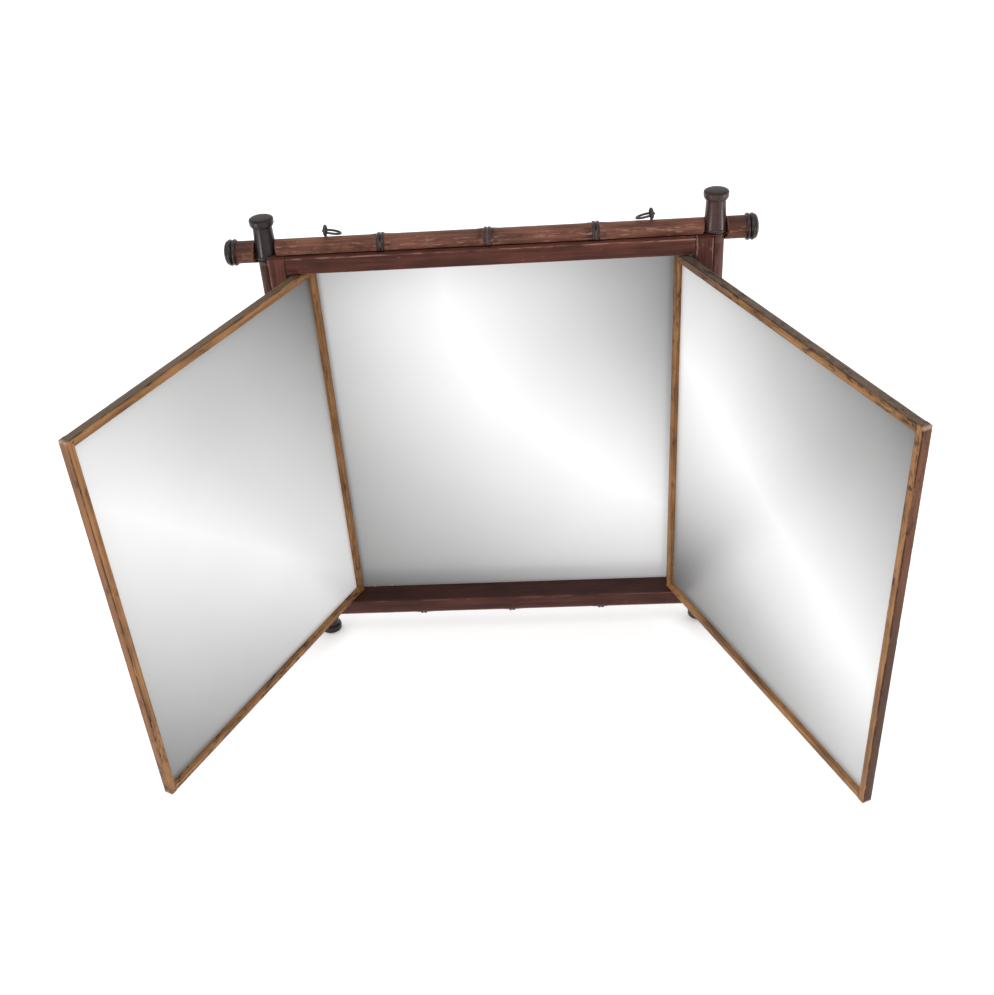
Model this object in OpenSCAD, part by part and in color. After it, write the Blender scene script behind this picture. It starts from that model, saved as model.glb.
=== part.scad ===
// Three-panel wall mirror in a faux-bamboo frame.
//
// A shallow open box holds the fixed centre glass. Turned faux-bamboo poles and posts run
// round the box and cross at its corners. Two thin framed wings turn on pins inside the box:
// the left wing folds first, against the centre glass, and the right wing folds over it.
// Two screw eyes with loose rings on the top pole hang the mirror.
//
// X runs to the right, Y into the wall and Z up. The origin is the centre of the flat back.

/* [Box] */
// Width of the opening between the side boards
opening_w = 320; // [260:1:420]
// Height of the opening between the top and bottom boards
opening_h = 338; // [280:1:460]
// Thickness of the four boards
board_t = 13.5; // [12:0.5:18]
// Depth from the front edge of the box to the centre glass
recess_d = 23; // [22:0.5:34]
// Thickness of the centre glass
glass_t = 3; // [2:0.5:4]
// Thickness of the back board
back_board_t = 4; // [3:0.5:6]
// How far the centre glass reaches into the boards on each side
glass_rebate_w = 5; // [4:0.5:6]
// How far the back board reaches into the boards on each side
back_rebate_w = 9; // [8:0.5:10]
// Gap round a glass or a panel in its rebate
pane_gap = 0.3; // [0.1:0.1:0.5]
// Radius of the boards' worn long edges
board_edge_r = 0.8; // [0.3:0.1:1.5]

/* [Bamboo poles] */
// Radius of the two level poles
pole_r = 8.9; // [8:0.1:11]
// Radius of the two upright posts
post_r = 7.5; // [6.5:0.1:8.5]
// How far a pole's axis stands clear of the board that it is nailed to
pole_standoff = 1.5; // [0:0.1:4]
// How far a post's axis stands clear of its board
post_standoff = 2.5; // [0:0.1:4]
// Length of a pole past a post's axis
pole_overhang = 33.5; // [28:0.5:50]
// Length of a post past a pole's axis
post_overhang = 28.5; // [26:0.5:45]
// Number of nodes along each pole and post
node_count = 3; // [2:1:5]
// How much higher the right post sits than the left one
right_post_rise = 3; // [0:0.5:6]
// Distance from a post's axis to a level pole's first node
pole_node_start = 92; // [60:1:100]
// Distance from a pole's axis to an upright post's first node
post_node_start = 98; // [60:1:110]
// Height of a bead over the pole that carries it
bead_h = 1.1; // [0.6:0.1:1.5]
// Width of one bead along the pole
bead_w = 3; // [2:0.1:4]
// Height of the swelling on each side of a node
swell_h = 0.4; // [0.2:0.1:0.8]
// Length of that swelling along the pole
swell_w = 20; // [12:1:30]

/* [Turned ends] */
// Height of the two beads at a level pole's end
end_bead_h = 1.7; // [1:0.1:2.5]
// Width of an end bead
end_bead_w = 3.6; // [3:0.1:5]
// Height of the rounded tip of a pole
tip_h = 3.4; // [2:0.1:5]
// Radius of the neck under a post's cap
neck_r = 7.8; // [6.5:0.1:8]
// Radius of a post's cap
cap_r = 9.8; // [9.5:0.1:12]
// Thickness of that cap's rim
cap_rim_h = 6.4; // [5:0.1:8]
// Radius of the rim's upper edge
cap_edge_r = 1.2; // [0.5:0.1:1.5]
// Height of the crown on that cap
cap_crown_h = 0.8; // [0.4:0.1:2.5]
// Radius of the flared foot of a post's end
flare_r = 9.3; // [8.5:0.1:10]
// How far that foot reaches past a pole's axis
flare_reach = 4.5; // [0:0.5:6]

/* [Wings] */
// Gap between the closed left wing's free edge and the right board
left_end_gap = 25; // [24:0.5:60]
// Gap between the closed right wing's free edge and the left board
right_end_gap = 19; // [18.5:0.5:60]
// Gap over and under a wing
wing_gap = 0.75; // [0.5:0.05:2]
// Width of a wing's frame members, seen from the glass side
member_w = 6.5; // [6.5:0.5:10]
// Thickness of a wing
wing_t = 7.5; // [7:0.1:9]
// Radius of the wing frames' worn long edges
wing_edge_r = 0.5; // [0.2:0.1:0.8]
// Radius of a wing's worn outer corners
wing_corner_r = 1.2; // [0.4:0.1:1.8]
// Depth from a wing's glass side to its glass
lip_t = 3.8; // [3:0.1:4]
// Thickness of a wing's glass
wing_glass_t = 2; // [1.5:0.1:2.5]
// How far a wing's glass reaches into its frame
wing_glass_rebate_w = 2.5; // [2:0.1:2.6]
// How far a wing's back panel reaches into its frame
wing_panel_rebate_w = 4; // [3.8:0.1:4.2]
// Distance from the box's left board to the left wing's pin
left_pin_inset = 16; // [14:0.5:24]
// Distance from the box's right board to the right wing's pin
right_pin_inset = 11; // [10:0.5:24]
// Gap between the centre glass and the closed left wing
closed_gap = 2.25; // [1:0.05:3]
// Gap between the two closed wings
stack_gap = 1.1; // [0.6:0.1:2]
// Gap to the front edge of a side board when a wing is turned as far out as it goes
board_gap = 0.3; // [0.1:0.1:1]
// Angle from where the left wing stands to where it meets its side board
left_spare_angle = 5.8; // [1:0.1:40]
// Angle from where the right wing stands to where it meets its side board
right_spare_angle = 10.6; // [1:0.1:40]

/* [Pins, nails and brads] */
// Radius of a pivot pin
pin_r = 0.9; // [0.7:0.05:1]
// Running clearance round a pivot pin
pin_gap = 0.05; // [0.02:0.01:0.1]
// Distance from a wing's hinge edge to its pin
pin_edge = 2.8; // [2.4:0.1:2.8]
// Length of a pivot pin inside a wing
pin_reach = 8; // [6:0.5:12]
// Radius of the washer under a wing
washer_r = 3; // [2.5:0.1:4]
// Gap between that washer and the wing over it
washer_play = 0.15; // [0.05:0.05:0.3]
// Radius of the nails that join the boards
nail_r = 1; // [0.8:0.1:1.2]
// Radius of the heads of those nails
nail_head_r = 1.5; // [1.2:0.1:1.6]
// Distance between the two nails of a joint
nail_spacing = 9; // [7:0.5:10]
// Depth of those nails past a side board
nail_reach = 7.5; // [5:0.5:8]
// Radius of the brads that hold the poles
brad_r = 0.8; // [0.6:0.1:1]
// Depth of a brad in its board
brad_reach = 8; // [6:0.5:10]
// Radius of a brad's head
brad_head_r = 1.4; // [1.2:0.1:1.8]
// Radius of the small pins in panels and frame corners
tack_r = 0.4; // [0.3:0.05:0.45]
// Radius of the head of such a pin
tack_head_r = 0.9; // [0.7:0.05:1.1]
// Thickness of every nail head
head_t = 0.5; // [0.3:0.1:0.8]
// Length of the small pins in the back board
back_tack_len = 10; // [7:0.5:12]
// Number of small pins along each side of the back board
back_tack_count = 4; // [3:1:8]
// Number of small pins along each side of a wing's back panel
panel_tack_count = 3; // [2:1:6]

/* [Hanging rings] */
// Distance from a post's axis to the screw eye near it
eye_inset = 49; // [40:1:60]
// Radius of the wire of a screw eye
eye_wire_r = 1; // [0.8:0.05:1.2]
// Radius of a screw eye, to the middle of its wire
eye_r = 3.6; // [3.4:0.1:5]
// Height of a screw eye's middle over the top of the pole
eye_rise = 5.8; // [5:0.1:8]
// Depth of a screw eye's shank in the wood
shank_len = 20; // [14:1:22]
// Turn of the left screw eye towards the middle of the mirror
left_eye_turn = 6; // [6:1:30]
// Turn of the right screw eye towards the middle of the mirror
right_eye_turn = 14; // [6:1:30]
// Radius of the wire of a ring
ring_wire_r = 0.95; // [0.8:0.05:1]
// Radius of a ring, to the middle of its wire
ring_r = 7; // [6:0.1:9]
// Gap between a ring and the eye that it lies in
ring_gap = 0.15; // [0.1:0.05:0.3]
// Direction in which a ring lies, from the pole's length towards the wall
ring_heading = 50; // [40:1:60]
// Gap between a ring and the pole under it
ring_rest_gap = 0.7; // [0.3:0.1:1.5]

/* [Hidden] */
$fn = 64;
BEAD_STEPS = 8;     // straight steps round a bead, a rim or a rounded tip
SWELL_STEPS = 4;    // straight steps up the swelling at a node
FLARE_STEPS = 8;    // straight steps in the flare of a post's end
SLOPE_STEPS = 14;   // halvings in the search for a ring's resting slope
STEEPEST = 45;      // steepest slope in that search
RING_STEP = 3;      // angle between the points of a ring that the search looks at
EPS = 0.01;         // overlap of a cutting tool past a face

// Box
box_d = recess_d + glass_t + back_board_t;
box_w = opening_w + 2 * board_t;
box_h = opening_h + 2 * board_t;
front_y = -box_d;
glass_y = front_y + recess_d;

// Evenly spaced nodes from -last to last
function node_places(last) = [for (i = [0 : node_count - 1]) (2 * i / (node_count - 1) - 1) * last];

// Poles and posts
pole_y = -box_d / 2;
pole_z = box_h / 2 + pole_standoff;
post_x = box_w / 2 + post_standoff;
pole_len = 2 * (post_x + pole_overhang);
post_len = 2 * (pole_z + post_overhang);
pole_nodes = node_places(post_x - pole_node_start);
post_nodes = node_places(pole_z - post_node_start);
turned_len = post_overhang + flare_reach;
lap_cut = 2 * max(pole_r, cap_r);
pole_profile = whole(pole_end(), pole_r, pole_nodes, pole_len);
post_profile = whole(post_end(), post_r, post_nodes, post_len);

// How much higher than its usual place the post on one side sits
function post_rise(side) = side > 0 ? right_post_rise : 0;

// Angle from closed at which a wing's back comes near the front edge of its side board
function open_limit(inset, depth) =
    180 - atan2(depth, inset) - asin((wing_t / 2 + board_gap) / norm([inset, depth]));

// Wings
wing_h = opening_h - 2 * wing_gap;
left_wing_w = opening_w - left_pin_inset + pin_edge - left_end_gap;
right_wing_w = opening_w - right_pin_inset + pin_edge - right_end_gap;
panel_t = wing_t - lip_t - wing_glass_t;
left_pin_depth = recess_d - closed_gap - wing_t / 2;
right_pin_depth = left_pin_depth - wing_t - stack_gap;
left_pin = [-opening_w / 2 + left_pin_inset, front_y + left_pin_depth];
right_pin = [opening_w / 2 - right_pin_inset, front_y + right_pin_depth];
left_open = open_limit(left_pin_inset, left_pin_depth) - left_spare_angle;
right_open = open_limit(right_pin_inset, right_pin_depth) - right_spare_angle;
washer_t = wing_gap - washer_play;
tenon_len = 2.2;
tenon_w = 4.5;
tenon_t = 2;
brad_spacing = 21;
brad_inset = 2.8;
tack_inset = member_w - (wing_panel_rebate_w - pane_gap + wing_glass_rebate_w) / 2;

// Hanging rings
eye_x = post_x - eye_inset;
eye_z = pole_z + pole_r + eye_rise;
ring_wire_z = eye_z - eye_r + eye_wire_r + ring_wire_r + ring_gap;
ring_slope = rest_slope(0, STEEPEST, SLOPE_STEPS);

// Smallest gap between the pole and a ring that slopes down at an angle
function slope_gap(slope) = min([for (t = [0 : RING_STEP : 360 - RING_STEP])
    let (along = ring_r * (1 + cos(t)))
    norm([along * cos(slope) * sin(ring_heading) - ring_r * sin(t) * cos(ring_heading),
          ring_wire_z - pole_z - along * sin(slope)])
    - pole_r - ring_wire_r]);

// The slope at which a ring lies just over the pole, found by halving the span of angles
function rest_slope(low, high, steps) =
    let (middle = (low + high) / 2)
    steps == 0 ? middle
    : slope_gap(middle) > ring_rest_gap ? rest_slope(middle, high, steps - 1)
    : rest_slope(low, middle, steps - 1);

// Colours
RED_BROWN = [0.42, 0.25, 0.21];
BAMBOO_BROWN = [0.48, 0.32, 0.25];
HONEY = [0.62, 0.45, 0.28];
BACK_WOOD = [0.66, 0.53, 0.38];
SILVER = [0.82, 0.84, 0.85];
IRON = [0.2, 0.2, 0.19];
STEEL = [0.42, 0.4, 0.38];
BRASS = [0.7, 0.56, 0.3];

// ---------------------------------------------------------------- helpers

// A box given by its lowest and highest corners
module block(low, high) {
    translate(low) cube(high - low);
}

// A square with round corners, with its lowest corner at the origin
module rounded_square(size, r) {
    translate([r, 0]) square([size[0] - 2 * r, size[1]]);
    translate([0, r]) square([size[0], size[1] - 2 * r]);
    for (x = [r, size[0] - r], y = [r, size[1] - r]) {
        translate([x, y]) circle(r = r);
    }
}

// An upright bar with round long edges, given by its lowest and highest corners
module upright_bar(low, high, r) {
    translate(low) linear_extrude(high[2] - low[2])
        rounded_square([high[0] - low[0], high[1] - low[1]], r);
}

// A level bar along X, made in the same way
module level_bar(low, high, r) {
    translate(low) rotate([90, 0, 90]) linear_extrude(high[0] - low[0])
        rounded_square([high[1] - low[1], high[2] - low[2]], r);
}

// A nail along +Z: its head's top lies at z = 0 and its point at z = -length
module nail(r, head_r, length) {
    translate([0, 0, -length]) cylinder(r = r, h = length);
    translate([0, 0, -head_t]) cylinder(r = head_r, h = head_t);
}

// A frame-shaped row of places, with the same count on every side
module round_the_edge(half_w, half_h, count) {
    for (side = [-1, 1], i = [0 : count - 1]) {
        part = (2 * i + 1) / count - 1;
        translate([part * half_w, 0, side * half_h]) children();
        translate([side * half_w, 0, part * half_h]) children();
    }
}

// ---------------------------------------------------------------- turned profiles
// A profile is a list of [radius, place along the pole], from one end down to the other.

function shifted(points, by) = [for (p = points) [p[0], p[1] + by]];

function turned_over(points) = [for (i = [len(points) - 1 : -1 : 0]) [points[i][0], -points[i][1]]];

// A half-round bead that stands h over radius r
function bead(at, r, h, width) = [for (i = [0 : BEAD_STEPS]) let (a = 180 * i / BEAD_STEPS)
    [r + h * sin(a), at + width / 2 * cos(a)]];

// One side of the slight swelling at a node, rising to the beads
function swell(r) = [for (i = [0 : SWELL_STEPS]) let (part = i / SWELL_STEPS)
    [r + swell_h * (1 - cos(180 * part)) / 2, swell_w / 2 + (bead_w - swell_w / 2) * part]];

// A bamboo node: a swelling with two beads on it
function bamboo_node(r) = concat(
    swell(r),
    bead(bead_w / 2, r + swell_h, bead_h, bead_w),
    bead(-bead_w / 2, r + swell_h, bead_h, bead_w),
    turned_over(swell(r))
);

// One end of a level pole, with its tip at 0: a rounded tip and two beads
function pole_end() =
    let (tip_base_r = pole_r + end_bead_h / 2)
    concat(
        [for (i = [0 : BEAD_STEPS]) let (a = 90 * i / BEAD_STEPS)
            [tip_base_r * sin(a), tip_h * (cos(a) - 1)]],
        bead(-tip_h - end_bead_w / 2, pole_r, end_bead_h, end_bead_w),
        bead(-tip_h - end_bead_w * 3 / 2, pole_r, end_bead_h, end_bead_w)
    );

// One end of a post, with its crown at 0: crown, rim, neck, flare and the beads of its node
function post_end() =
    let (crown_r = cap_r - cap_edge_r)
    let (rim_foot = -cap_crown_h - cap_rim_h / 2)
    let (neck_at = -cap_crown_h - cap_rim_h)
    let (flare_len = turned_len - bead_w + neck_at)
    concat(
        [for (i = [0 : BEAD_STEPS]) let (a = 90 * i / BEAD_STEPS)
            [crown_r * sin(a), cap_crown_h * (cos(a) - 1)]],
        [for (i = [1 : BEAD_STEPS]) let (a = 90 * i / BEAD_STEPS)
            [crown_r + cap_edge_r * sin(a), -cap_crown_h - cap_edge_r * (1 - cos(a))]],
        [for (i = [0 : BEAD_STEPS]) let (a = 90 * i / BEAD_STEPS)
            [neck_r + (cap_r - neck_r) * cos(a), rim_foot - cap_rim_h / 2 * sin(a)]],
        [for (i = [1 : FLARE_STEPS]) let (part = i / FLARE_STEPS)
            [neck_r + (flare_r - neck_r) * part * part, neck_at - flare_len * part]],
        bead(bead_w / 2 - turned_len, flare_r - bead_h / 2, bead_h, bead_w),
        bead(-bead_w / 2 - turned_len, post_r, flare_r - post_r, bead_w)
    );

// A whole pole or post, closed along its axis
function whole(end, r, nodes, length) = concat(
    shifted(end, length / 2),
    [for (i = [len(nodes) - 1 : -1 : 0]) each shifted(bamboo_node(r), nodes[i])],
    shifted(turned_over(end), -length / 2)
);

module turned_pole(z) {
    translate([0, pole_y, z]) rotate([0, 90, 0]) rotate_extrude() polygon(pole_profile);
}

module turned_post(side) {
    translate([side * post_x, pole_y, post_rise(side)]) rotate_extrude() polygon(post_profile);
}

// The lap in a pole for a post: the post's outline, cut from the axis to the front
module post_lap(side) {
    translate([side * post_x, pole_y, post_rise(side)]) rotate([90, 0, 0]) linear_extrude(lap_cut) {
        polygon(post_profile);
        mirror([1, 0]) polygon(post_profile);
    }
}

// The lap in a post for a pole: the pole's outline, cut from the axis to the back
module pole_lap(z) {
    translate([0, pole_y, z]) rotate([-90, 0, 0]) linear_extrude(lap_cut) rotate(90) {
        polygon(pole_profile);
        mirror([1, 0]) polygon(pole_profile);
    }
}

// ---------------------------------------------------------------- the box

// The envelope of the box, which the poles and posts are cut back to
module box_block() {
    block([-box_w / 2, front_y, -box_h / 2], [box_w / 2, 0, box_h / 2]);
}

// A pane's pocket or the pane itself: reach is how far it goes past the opening on each side
module pane(reach, back, front) {
    block([-opening_w / 2 - reach, front, -opening_h / 2 - reach],
          [opening_w / 2 + reach, back, opening_h / 2 + reach]);
}

module rebates() {
    pane(glass_rebate_w, glass_y + glass_t + EPS, glass_y);
    pane(back_rebate_w, EPS, -back_board_t);
}

module carcass_stile(side) {
    inner = opening_w / 2;
    outer = box_w / 2;
    difference() {
        upright_bar([min(side * inner, side * outer), front_y, -box_h / 2],
                    [max(side * inner, side * outer), 0, box_h / 2], board_edge_r);
        rebates();
        board_nail_places();
        pole_brad_places();
        back_tack_places();
    }
}

module carcass_rail(side) {
    inner = opening_h / 2;
    outer = box_h / 2;
    difference() {
        level_bar([-opening_w / 2, front_y, min(side * inner, side * outer)],
                  [opening_w / 2, 0, max(side * inner, side * outer)], board_edge_r);
        rebates();
        board_nail_places();
        pole_brad_places();
        back_tack_places();
        screw_shank(-1);
        screw_shank(1);
        pivot_pin(left_pin, side);
        pivot_pin(right_pin, side);
    }
}

module board_nail_places() {
    for (side = [-1, 1], end = [-1, 1], row = [-1, 1]) {
        translate([side * box_w / 2, pole_y + row * nail_spacing / 2, end * (opening_h + board_t) / 2])
            rotate([0, side * 90, 0]) nail(nail_r, nail_head_r, board_t + nail_reach);
    }
}

module carcass_stile_left() {
    color(RED_BROWN) carcass_stile(-1);
}

module carcass_stile_right() {
    color(RED_BROWN) carcass_stile(1);
}

module carcass_rail_top() {
    color(RED_BROWN) carcass_rail(1);
}

module carcass_rail_bottom() {
    color(RED_BROWN) carcass_rail(-1);
}

module carcass_nails() {
    color(STEEL) board_nail_places();
}

module centre_mirror_glass() {
    color(SILVER) pane(glass_rebate_w - pane_gap, glass_y + glass_t, glass_y);
}

module back_tack_places() {
    inset = back_rebate_w - (back_rebate_w - glass_rebate_w) / 2;
    round_the_edge(opening_w / 2 + inset, opening_h / 2 + inset, back_tack_count)
        rotate([-90, 0, 0]) nail(tack_r, tack_head_r, back_tack_len);
}

module back_board() {
    color(BACK_WOOD) difference() {
        pane(back_rebate_w - pane_gap, 0, -back_board_t);
        back_tack_places();
    }
}

module back_board_tacks() {
    color(STEEL) back_tack_places();
}

// ---------------------------------------------------------------- poles and posts

// Brads go in through the groove between the two beads of each node
module pole_brad_places() {
    for (side = [-1, 1]) {
        for (at = pole_nodes) {
            translate([at, pole_y, side * (pole_z + pole_r + swell_h)])
                rotate([side < 0 ? 180 : 0, 0, 0])
                    nail(brad_r, brad_head_r, pole_r + swell_h + pole_standoff + brad_reach);
        }
        for (at = post_nodes) {
            translate([side * (post_x + post_r + swell_h), pole_y, at + post_rise(side)])
                rotate([0, side * 90, 0])
                    nail(brad_r, brad_head_r, post_r + swell_h + post_standoff + brad_reach);
        }
    }
}

// At a crossing the post keeps its front half and the pole its back half
module bamboo_pole(side) {
    difference() {
        turned_pole(side * pole_z);
        box_block();
        post_lap(-1);
        post_lap(1);
        pole_brad_places();
        if (side > 0) {
            screw_shank(-1);
            screw_shank(1);
        }
    }
}

module bamboo_post(side) {
    difference() {
        turned_post(side);
        box_block();
        pole_lap(-pole_z);
        pole_lap(pole_z);
        pole_brad_places();
    }
}

module bamboo_pole_top() {
    color(BAMBOO_BROWN) bamboo_pole(1);
}

module bamboo_pole_bottom() {
    color(BAMBOO_BROWN) bamboo_pole(-1);
}

module bamboo_post_left() {
    color(BAMBOO_BROWN) bamboo_post(-1);
}

module bamboo_post_right() {
    color(BAMBOO_BROWN) bamboo_post(1);
}

module pole_brads() {
    color(STEEL) pole_brad_places();
}

// ---------------------------------------------------------------- screw eyes and rings

module screw_shank(side) {
    translate([side * eye_x, pole_y, pole_z + pole_r - shank_len])
        cylinder(r = eye_wire_r, h = shank_len + eye_rise - eye_r);
}

module screw_eye(side, turn) {
    screw_shank(side);
    translate([side * eye_x, pole_y, eye_z]) rotate([0, 0, turn]) rotate([0, 90, 0])
        rotate_extrude() translate([eye_r, 0]) circle(r = eye_wire_r);
}

// A ring passes through its eye at the origin and slopes down along +X to the pole's far side
module hanging_ring() {
    rotate([0, ring_slope, 0]) translate([ring_r, 0, 0])
        rotate_extrude() translate([ring_r, 0]) circle(r = ring_wire_r);
}

module screw_eye_left() {
    color(IRON) screw_eye(-1, -left_eye_turn);
}

module screw_eye_right() {
    color(IRON) screw_eye(1, right_eye_turn);
}

module hanging_ring_left() {
    color(IRON) translate([-eye_x, pole_y, ring_wire_z]) rotate([0, 0, ring_heading]) hanging_ring();
}

module hanging_ring_right() {
    color(IRON) translate([eye_x, pole_y, ring_wire_z]) rotate([0, 0, 180 - ring_heading])
        hanging_ring();
}

// ---------------------------------------------------------------- pivots

// A pin through the top board (end = 1) or the bottom board (end = -1) into a wing
module pivot_pin(at, end) {
    length = board_t + wing_gap + pin_reach;
    translate([at[0], at[1], end * box_h / 2]) mirror([0, 0, end > 0 ? 1 : 0])
        cylinder(r = pin_r, h = length);
}

module pivot_washer(at) {
    translate([at[0], at[1], -opening_h / 2]) difference() {
        cylinder(r = washer_r, h = washer_t);
        translate([0, 0, -EPS]) cylinder(r = pin_r, h = washer_t + 2 * EPS);
    }
}

module left_pivot_pin_top() {
    color(STEEL) pivot_pin(left_pin, 1);
}

module left_pivot_pin_bottom() {
    color(STEEL) pivot_pin(left_pin, -1);
}

module left_pivot_washer() {
    color(BRASS) pivot_washer(left_pin);
}

module right_pivot_pin_top() {
    color(STEEL) pivot_pin(right_pin, 1);
}

module right_pivot_pin_bottom() {
    color(STEEL) pivot_pin(right_pin, -1);
}

module right_pivot_washer() {
    color(BRASS) pivot_washer(right_pin);
}

// ---------------------------------------------------------------- wings
// A wing is drawn closed, with its pin at the origin: it reaches along +X, its glass side faces
// +Y, and it is as tall as the opening allows. wing_w is its width.

module place_left() {
    translate([left_pin[0], left_pin[1], 0]) rotate([0, 0, -left_open]) children();
}

module place_right() {
    translate([right_pin[0], right_pin[1], 0]) rotate([0, 0, right_open]) mirror([1, 0, 0]) children();
}

// A block of a wing between two distances from its hinge edge and two depths from its glass side
module wing_block(x_low, x_high, depth_low, depth_high, z_low, z_high) {
    block([x_low - pin_edge, wing_t / 2 - depth_high, z_low],
          [x_high - pin_edge, wing_t / 2 - depth_low, z_high]);
}

// The outline of a wing with its worn corners, through its whole thickness
module wing_outline(wing_w) {
    translate([-pin_edge, wing_t / 2, -wing_h / 2]) rotate([90, 0, 0]) linear_extrude(wing_t)
        rounded_square([wing_w, wing_h], wing_corner_r);
}

// A pane's pocket in a wing, or the pane itself: reach is how far it goes into the frame
module wing_pane(wing_w, reach, depth_low, depth_high) {
    edge = member_w - reach;
    wing_block(edge, wing_w - edge, depth_low, depth_high, -wing_h / 2 + edge, wing_h / 2 - edge);
}

module wing_pockets(wing_w) {
    wing_pane(wing_w, wing_glass_rebate_w, lip_t, wing_t + EPS);
    wing_pane(wing_w, wing_panel_rebate_w, lip_t + wing_glass_t, wing_t + EPS);
}

// The tenons on a rail's two ends
module tenons(wing_w, end) {
    middle = end * (wing_h - member_w) / 2;
    depth = (lip_t - tenon_t) / 2;
    wing_block(member_w - tenon_len, wing_w - member_w + tenon_len, depth, depth + tenon_t,
               middle - tenon_w / 2, middle + tenon_w / 2);
}

module pivot_bores() {
    for (end = [-1, 1]) {
        translate([0, 0, end * (wing_h / 2 - pin_reach / 2)])
            cylinder(r = pin_r + pin_gap, h = pin_reach + 2 * wing_gap, center = true);
    }
}

// Brads from the glass side: one through each tenon, and one a little way along each rail
module frame_brad_places(wing_w) {
    corner = member_w - tenon_len / 2;
    for (end = [-1, 1], x = [corner, corner + brad_spacing,
                             wing_w - corner - brad_spacing, wing_w - corner]) {
        translate([x - pin_edge, wing_t / 2, end * (wing_h / 2 - brad_inset)])
            rotate([-90, 0, 0]) nail(tack_r, tack_head_r, lip_t + wing_glass_t / 2);
    }
}

// Tacks from the back, midway between the edges of the glass and the panel
module panel_tack_places(wing_w) {
    translate([wing_w / 2 - pin_edge, -wing_t / 2, 0])
        round_the_edge(wing_w / 2 - tack_inset, wing_h / 2 - tack_inset, panel_tack_count)
            rotate([90, 0, 0]) nail(tack_r, tack_head_r, panel_t + lip_t / 2);
}

module wing_stile(wing_w, x_low) {
    x = x_low - pin_edge;
    difference() {
        intersection() {
            upright_bar([x, -wing_t / 2, -wing_h / 2], [x + member_w, wing_t / 2, wing_h / 2],
                        wing_edge_r);
            wing_outline(wing_w);
        }
        wing_pockets(wing_w);
        tenons(wing_w, -1);
        tenons(wing_w, 1);
        pivot_bores();
        frame_brad_places(wing_w);
        panel_tack_places(wing_w);
    }
}

module wing_rail(wing_w, end) {
    edge = wing_h / 2;
    z_low = end > 0 ? edge - member_w : -edge;
    difference() {
        union() {
            level_bar([member_w - pin_edge, -wing_t / 2, z_low],
                      [wing_w - member_w - pin_edge, wing_t / 2, z_low + member_w], wing_edge_r);
            tenons(wing_w, end);
        }
        wing_pockets(wing_w);
        frame_brad_places(wing_w);
        panel_tack_places(wing_w);
    }
}

module wing_glass(wing_w) {
    wing_pane(wing_w, wing_glass_rebate_w - pane_gap, lip_t, lip_t + wing_glass_t);
}

module wing_panel(wing_w) {
    difference() {
        wing_pane(wing_w, wing_panel_rebate_w - pane_gap, lip_t + wing_glass_t, wing_t);
        panel_tack_places(wing_w);
    }
}

module left_wing_hinge_stile() {
    color(HONEY) place_left() wing_stile(left_wing_w, 0);
}

module left_wing_free_stile() {
    color(HONEY) place_left() wing_stile(left_wing_w, left_wing_w - member_w);
}

module left_wing_rail_top() {
    color(HONEY) place_left() wing_rail(left_wing_w, 1);
}

module left_wing_rail_bottom() {
    color(HONEY) place_left() wing_rail(left_wing_w, -1);
}

module left_wing_mirror_glass() {
    color(SILVER) place_left() wing_glass(left_wing_w);
}

module left_wing_back_panel() {
    color(BACK_WOOD) place_left() wing_panel(left_wing_w);
}

module left_wing_frame_brads() {
    color(STEEL) place_left() frame_brad_places(left_wing_w);
}

module left_wing_panel_tacks() {
    color(STEEL) place_left() panel_tack_places(left_wing_w);
}

module right_wing_hinge_stile() {
    color(HONEY) place_right() wing_stile(right_wing_w, 0);
}

module right_wing_free_stile() {
    color(HONEY) place_right() wing_stile(right_wing_w, right_wing_w - member_w);
}

module right_wing_rail_top() {
    color(HONEY) place_right() wing_rail(right_wing_w, 1);
}

module right_wing_rail_bottom() {
    color(HONEY) place_right() wing_rail(right_wing_w, -1);
}

module right_wing_mirror_glass() {
    color(SILVER) place_right() wing_glass(right_wing_w);
}

module right_wing_back_panel() {
    color(BACK_WOOD) place_right() wing_panel(right_wing_w);
}

module right_wing_frame_brads() {
    color(STEEL) place_right() frame_brad_places(right_wing_w);
}

module right_wing_panel_tacks() {
    color(STEEL) place_right() panel_tack_places(right_wing_w);
}

// ---------------------------------------------------------------- what is drawn

carcass_stile_left();
carcass_stile_right();
carcass_rail_top();
carcass_rail_bottom();
carcass_nails();
centre_mirror_glass();
back_board();
back_board_tacks();
bamboo_pole_top();
bamboo_pole_bottom();
bamboo_post_left();
bamboo_post_right();
pole_brads();
screw_eye_left();
screw_eye_right();
hanging_ring_left();
hanging_ring_right();
left_pivot_pin_top();
left_pivot_pin_bottom();
left_pivot_washer();
right_pivot_pin_top();
right_pivot_pin_bottom();
right_pivot_washer();
left_wing_hinge_stile();
left_wing_free_stile();
left_wing_rail_top();
left_wing_rail_bottom();
left_wing_mirror_glass();
left_wing_back_panel();
left_wing_frame_brads();
left_wing_panel_tacks();
right_wing_hinge_stile();
right_wing_free_stile();
right_wing_rail_top();
right_wing_rail_bottom();
right_wing_mirror_glass();
right_wing_back_panel();
right_wing_frame_brads();
right_wing_panel_tacks();
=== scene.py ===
# %% [markdown]
# # A folding three-panel mirror in a faux-bamboo frame
# This lesson dresses a mirror whose solids were made in CAD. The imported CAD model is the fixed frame:
# it says where each piece is and how large, and the pieces made here only give it its worn, turned and
# silvered surfaces. Lengths are in metres. X runs to the right, Y into the wall and Z up, and the
# origin is the centre of the flat back of the box.
#
# We load the frame first and keep its box, because the finished model has to have the same size.

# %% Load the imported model
import math

import bmesh
import bpy
from mathutils import Matrix, Vector, noise


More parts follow.
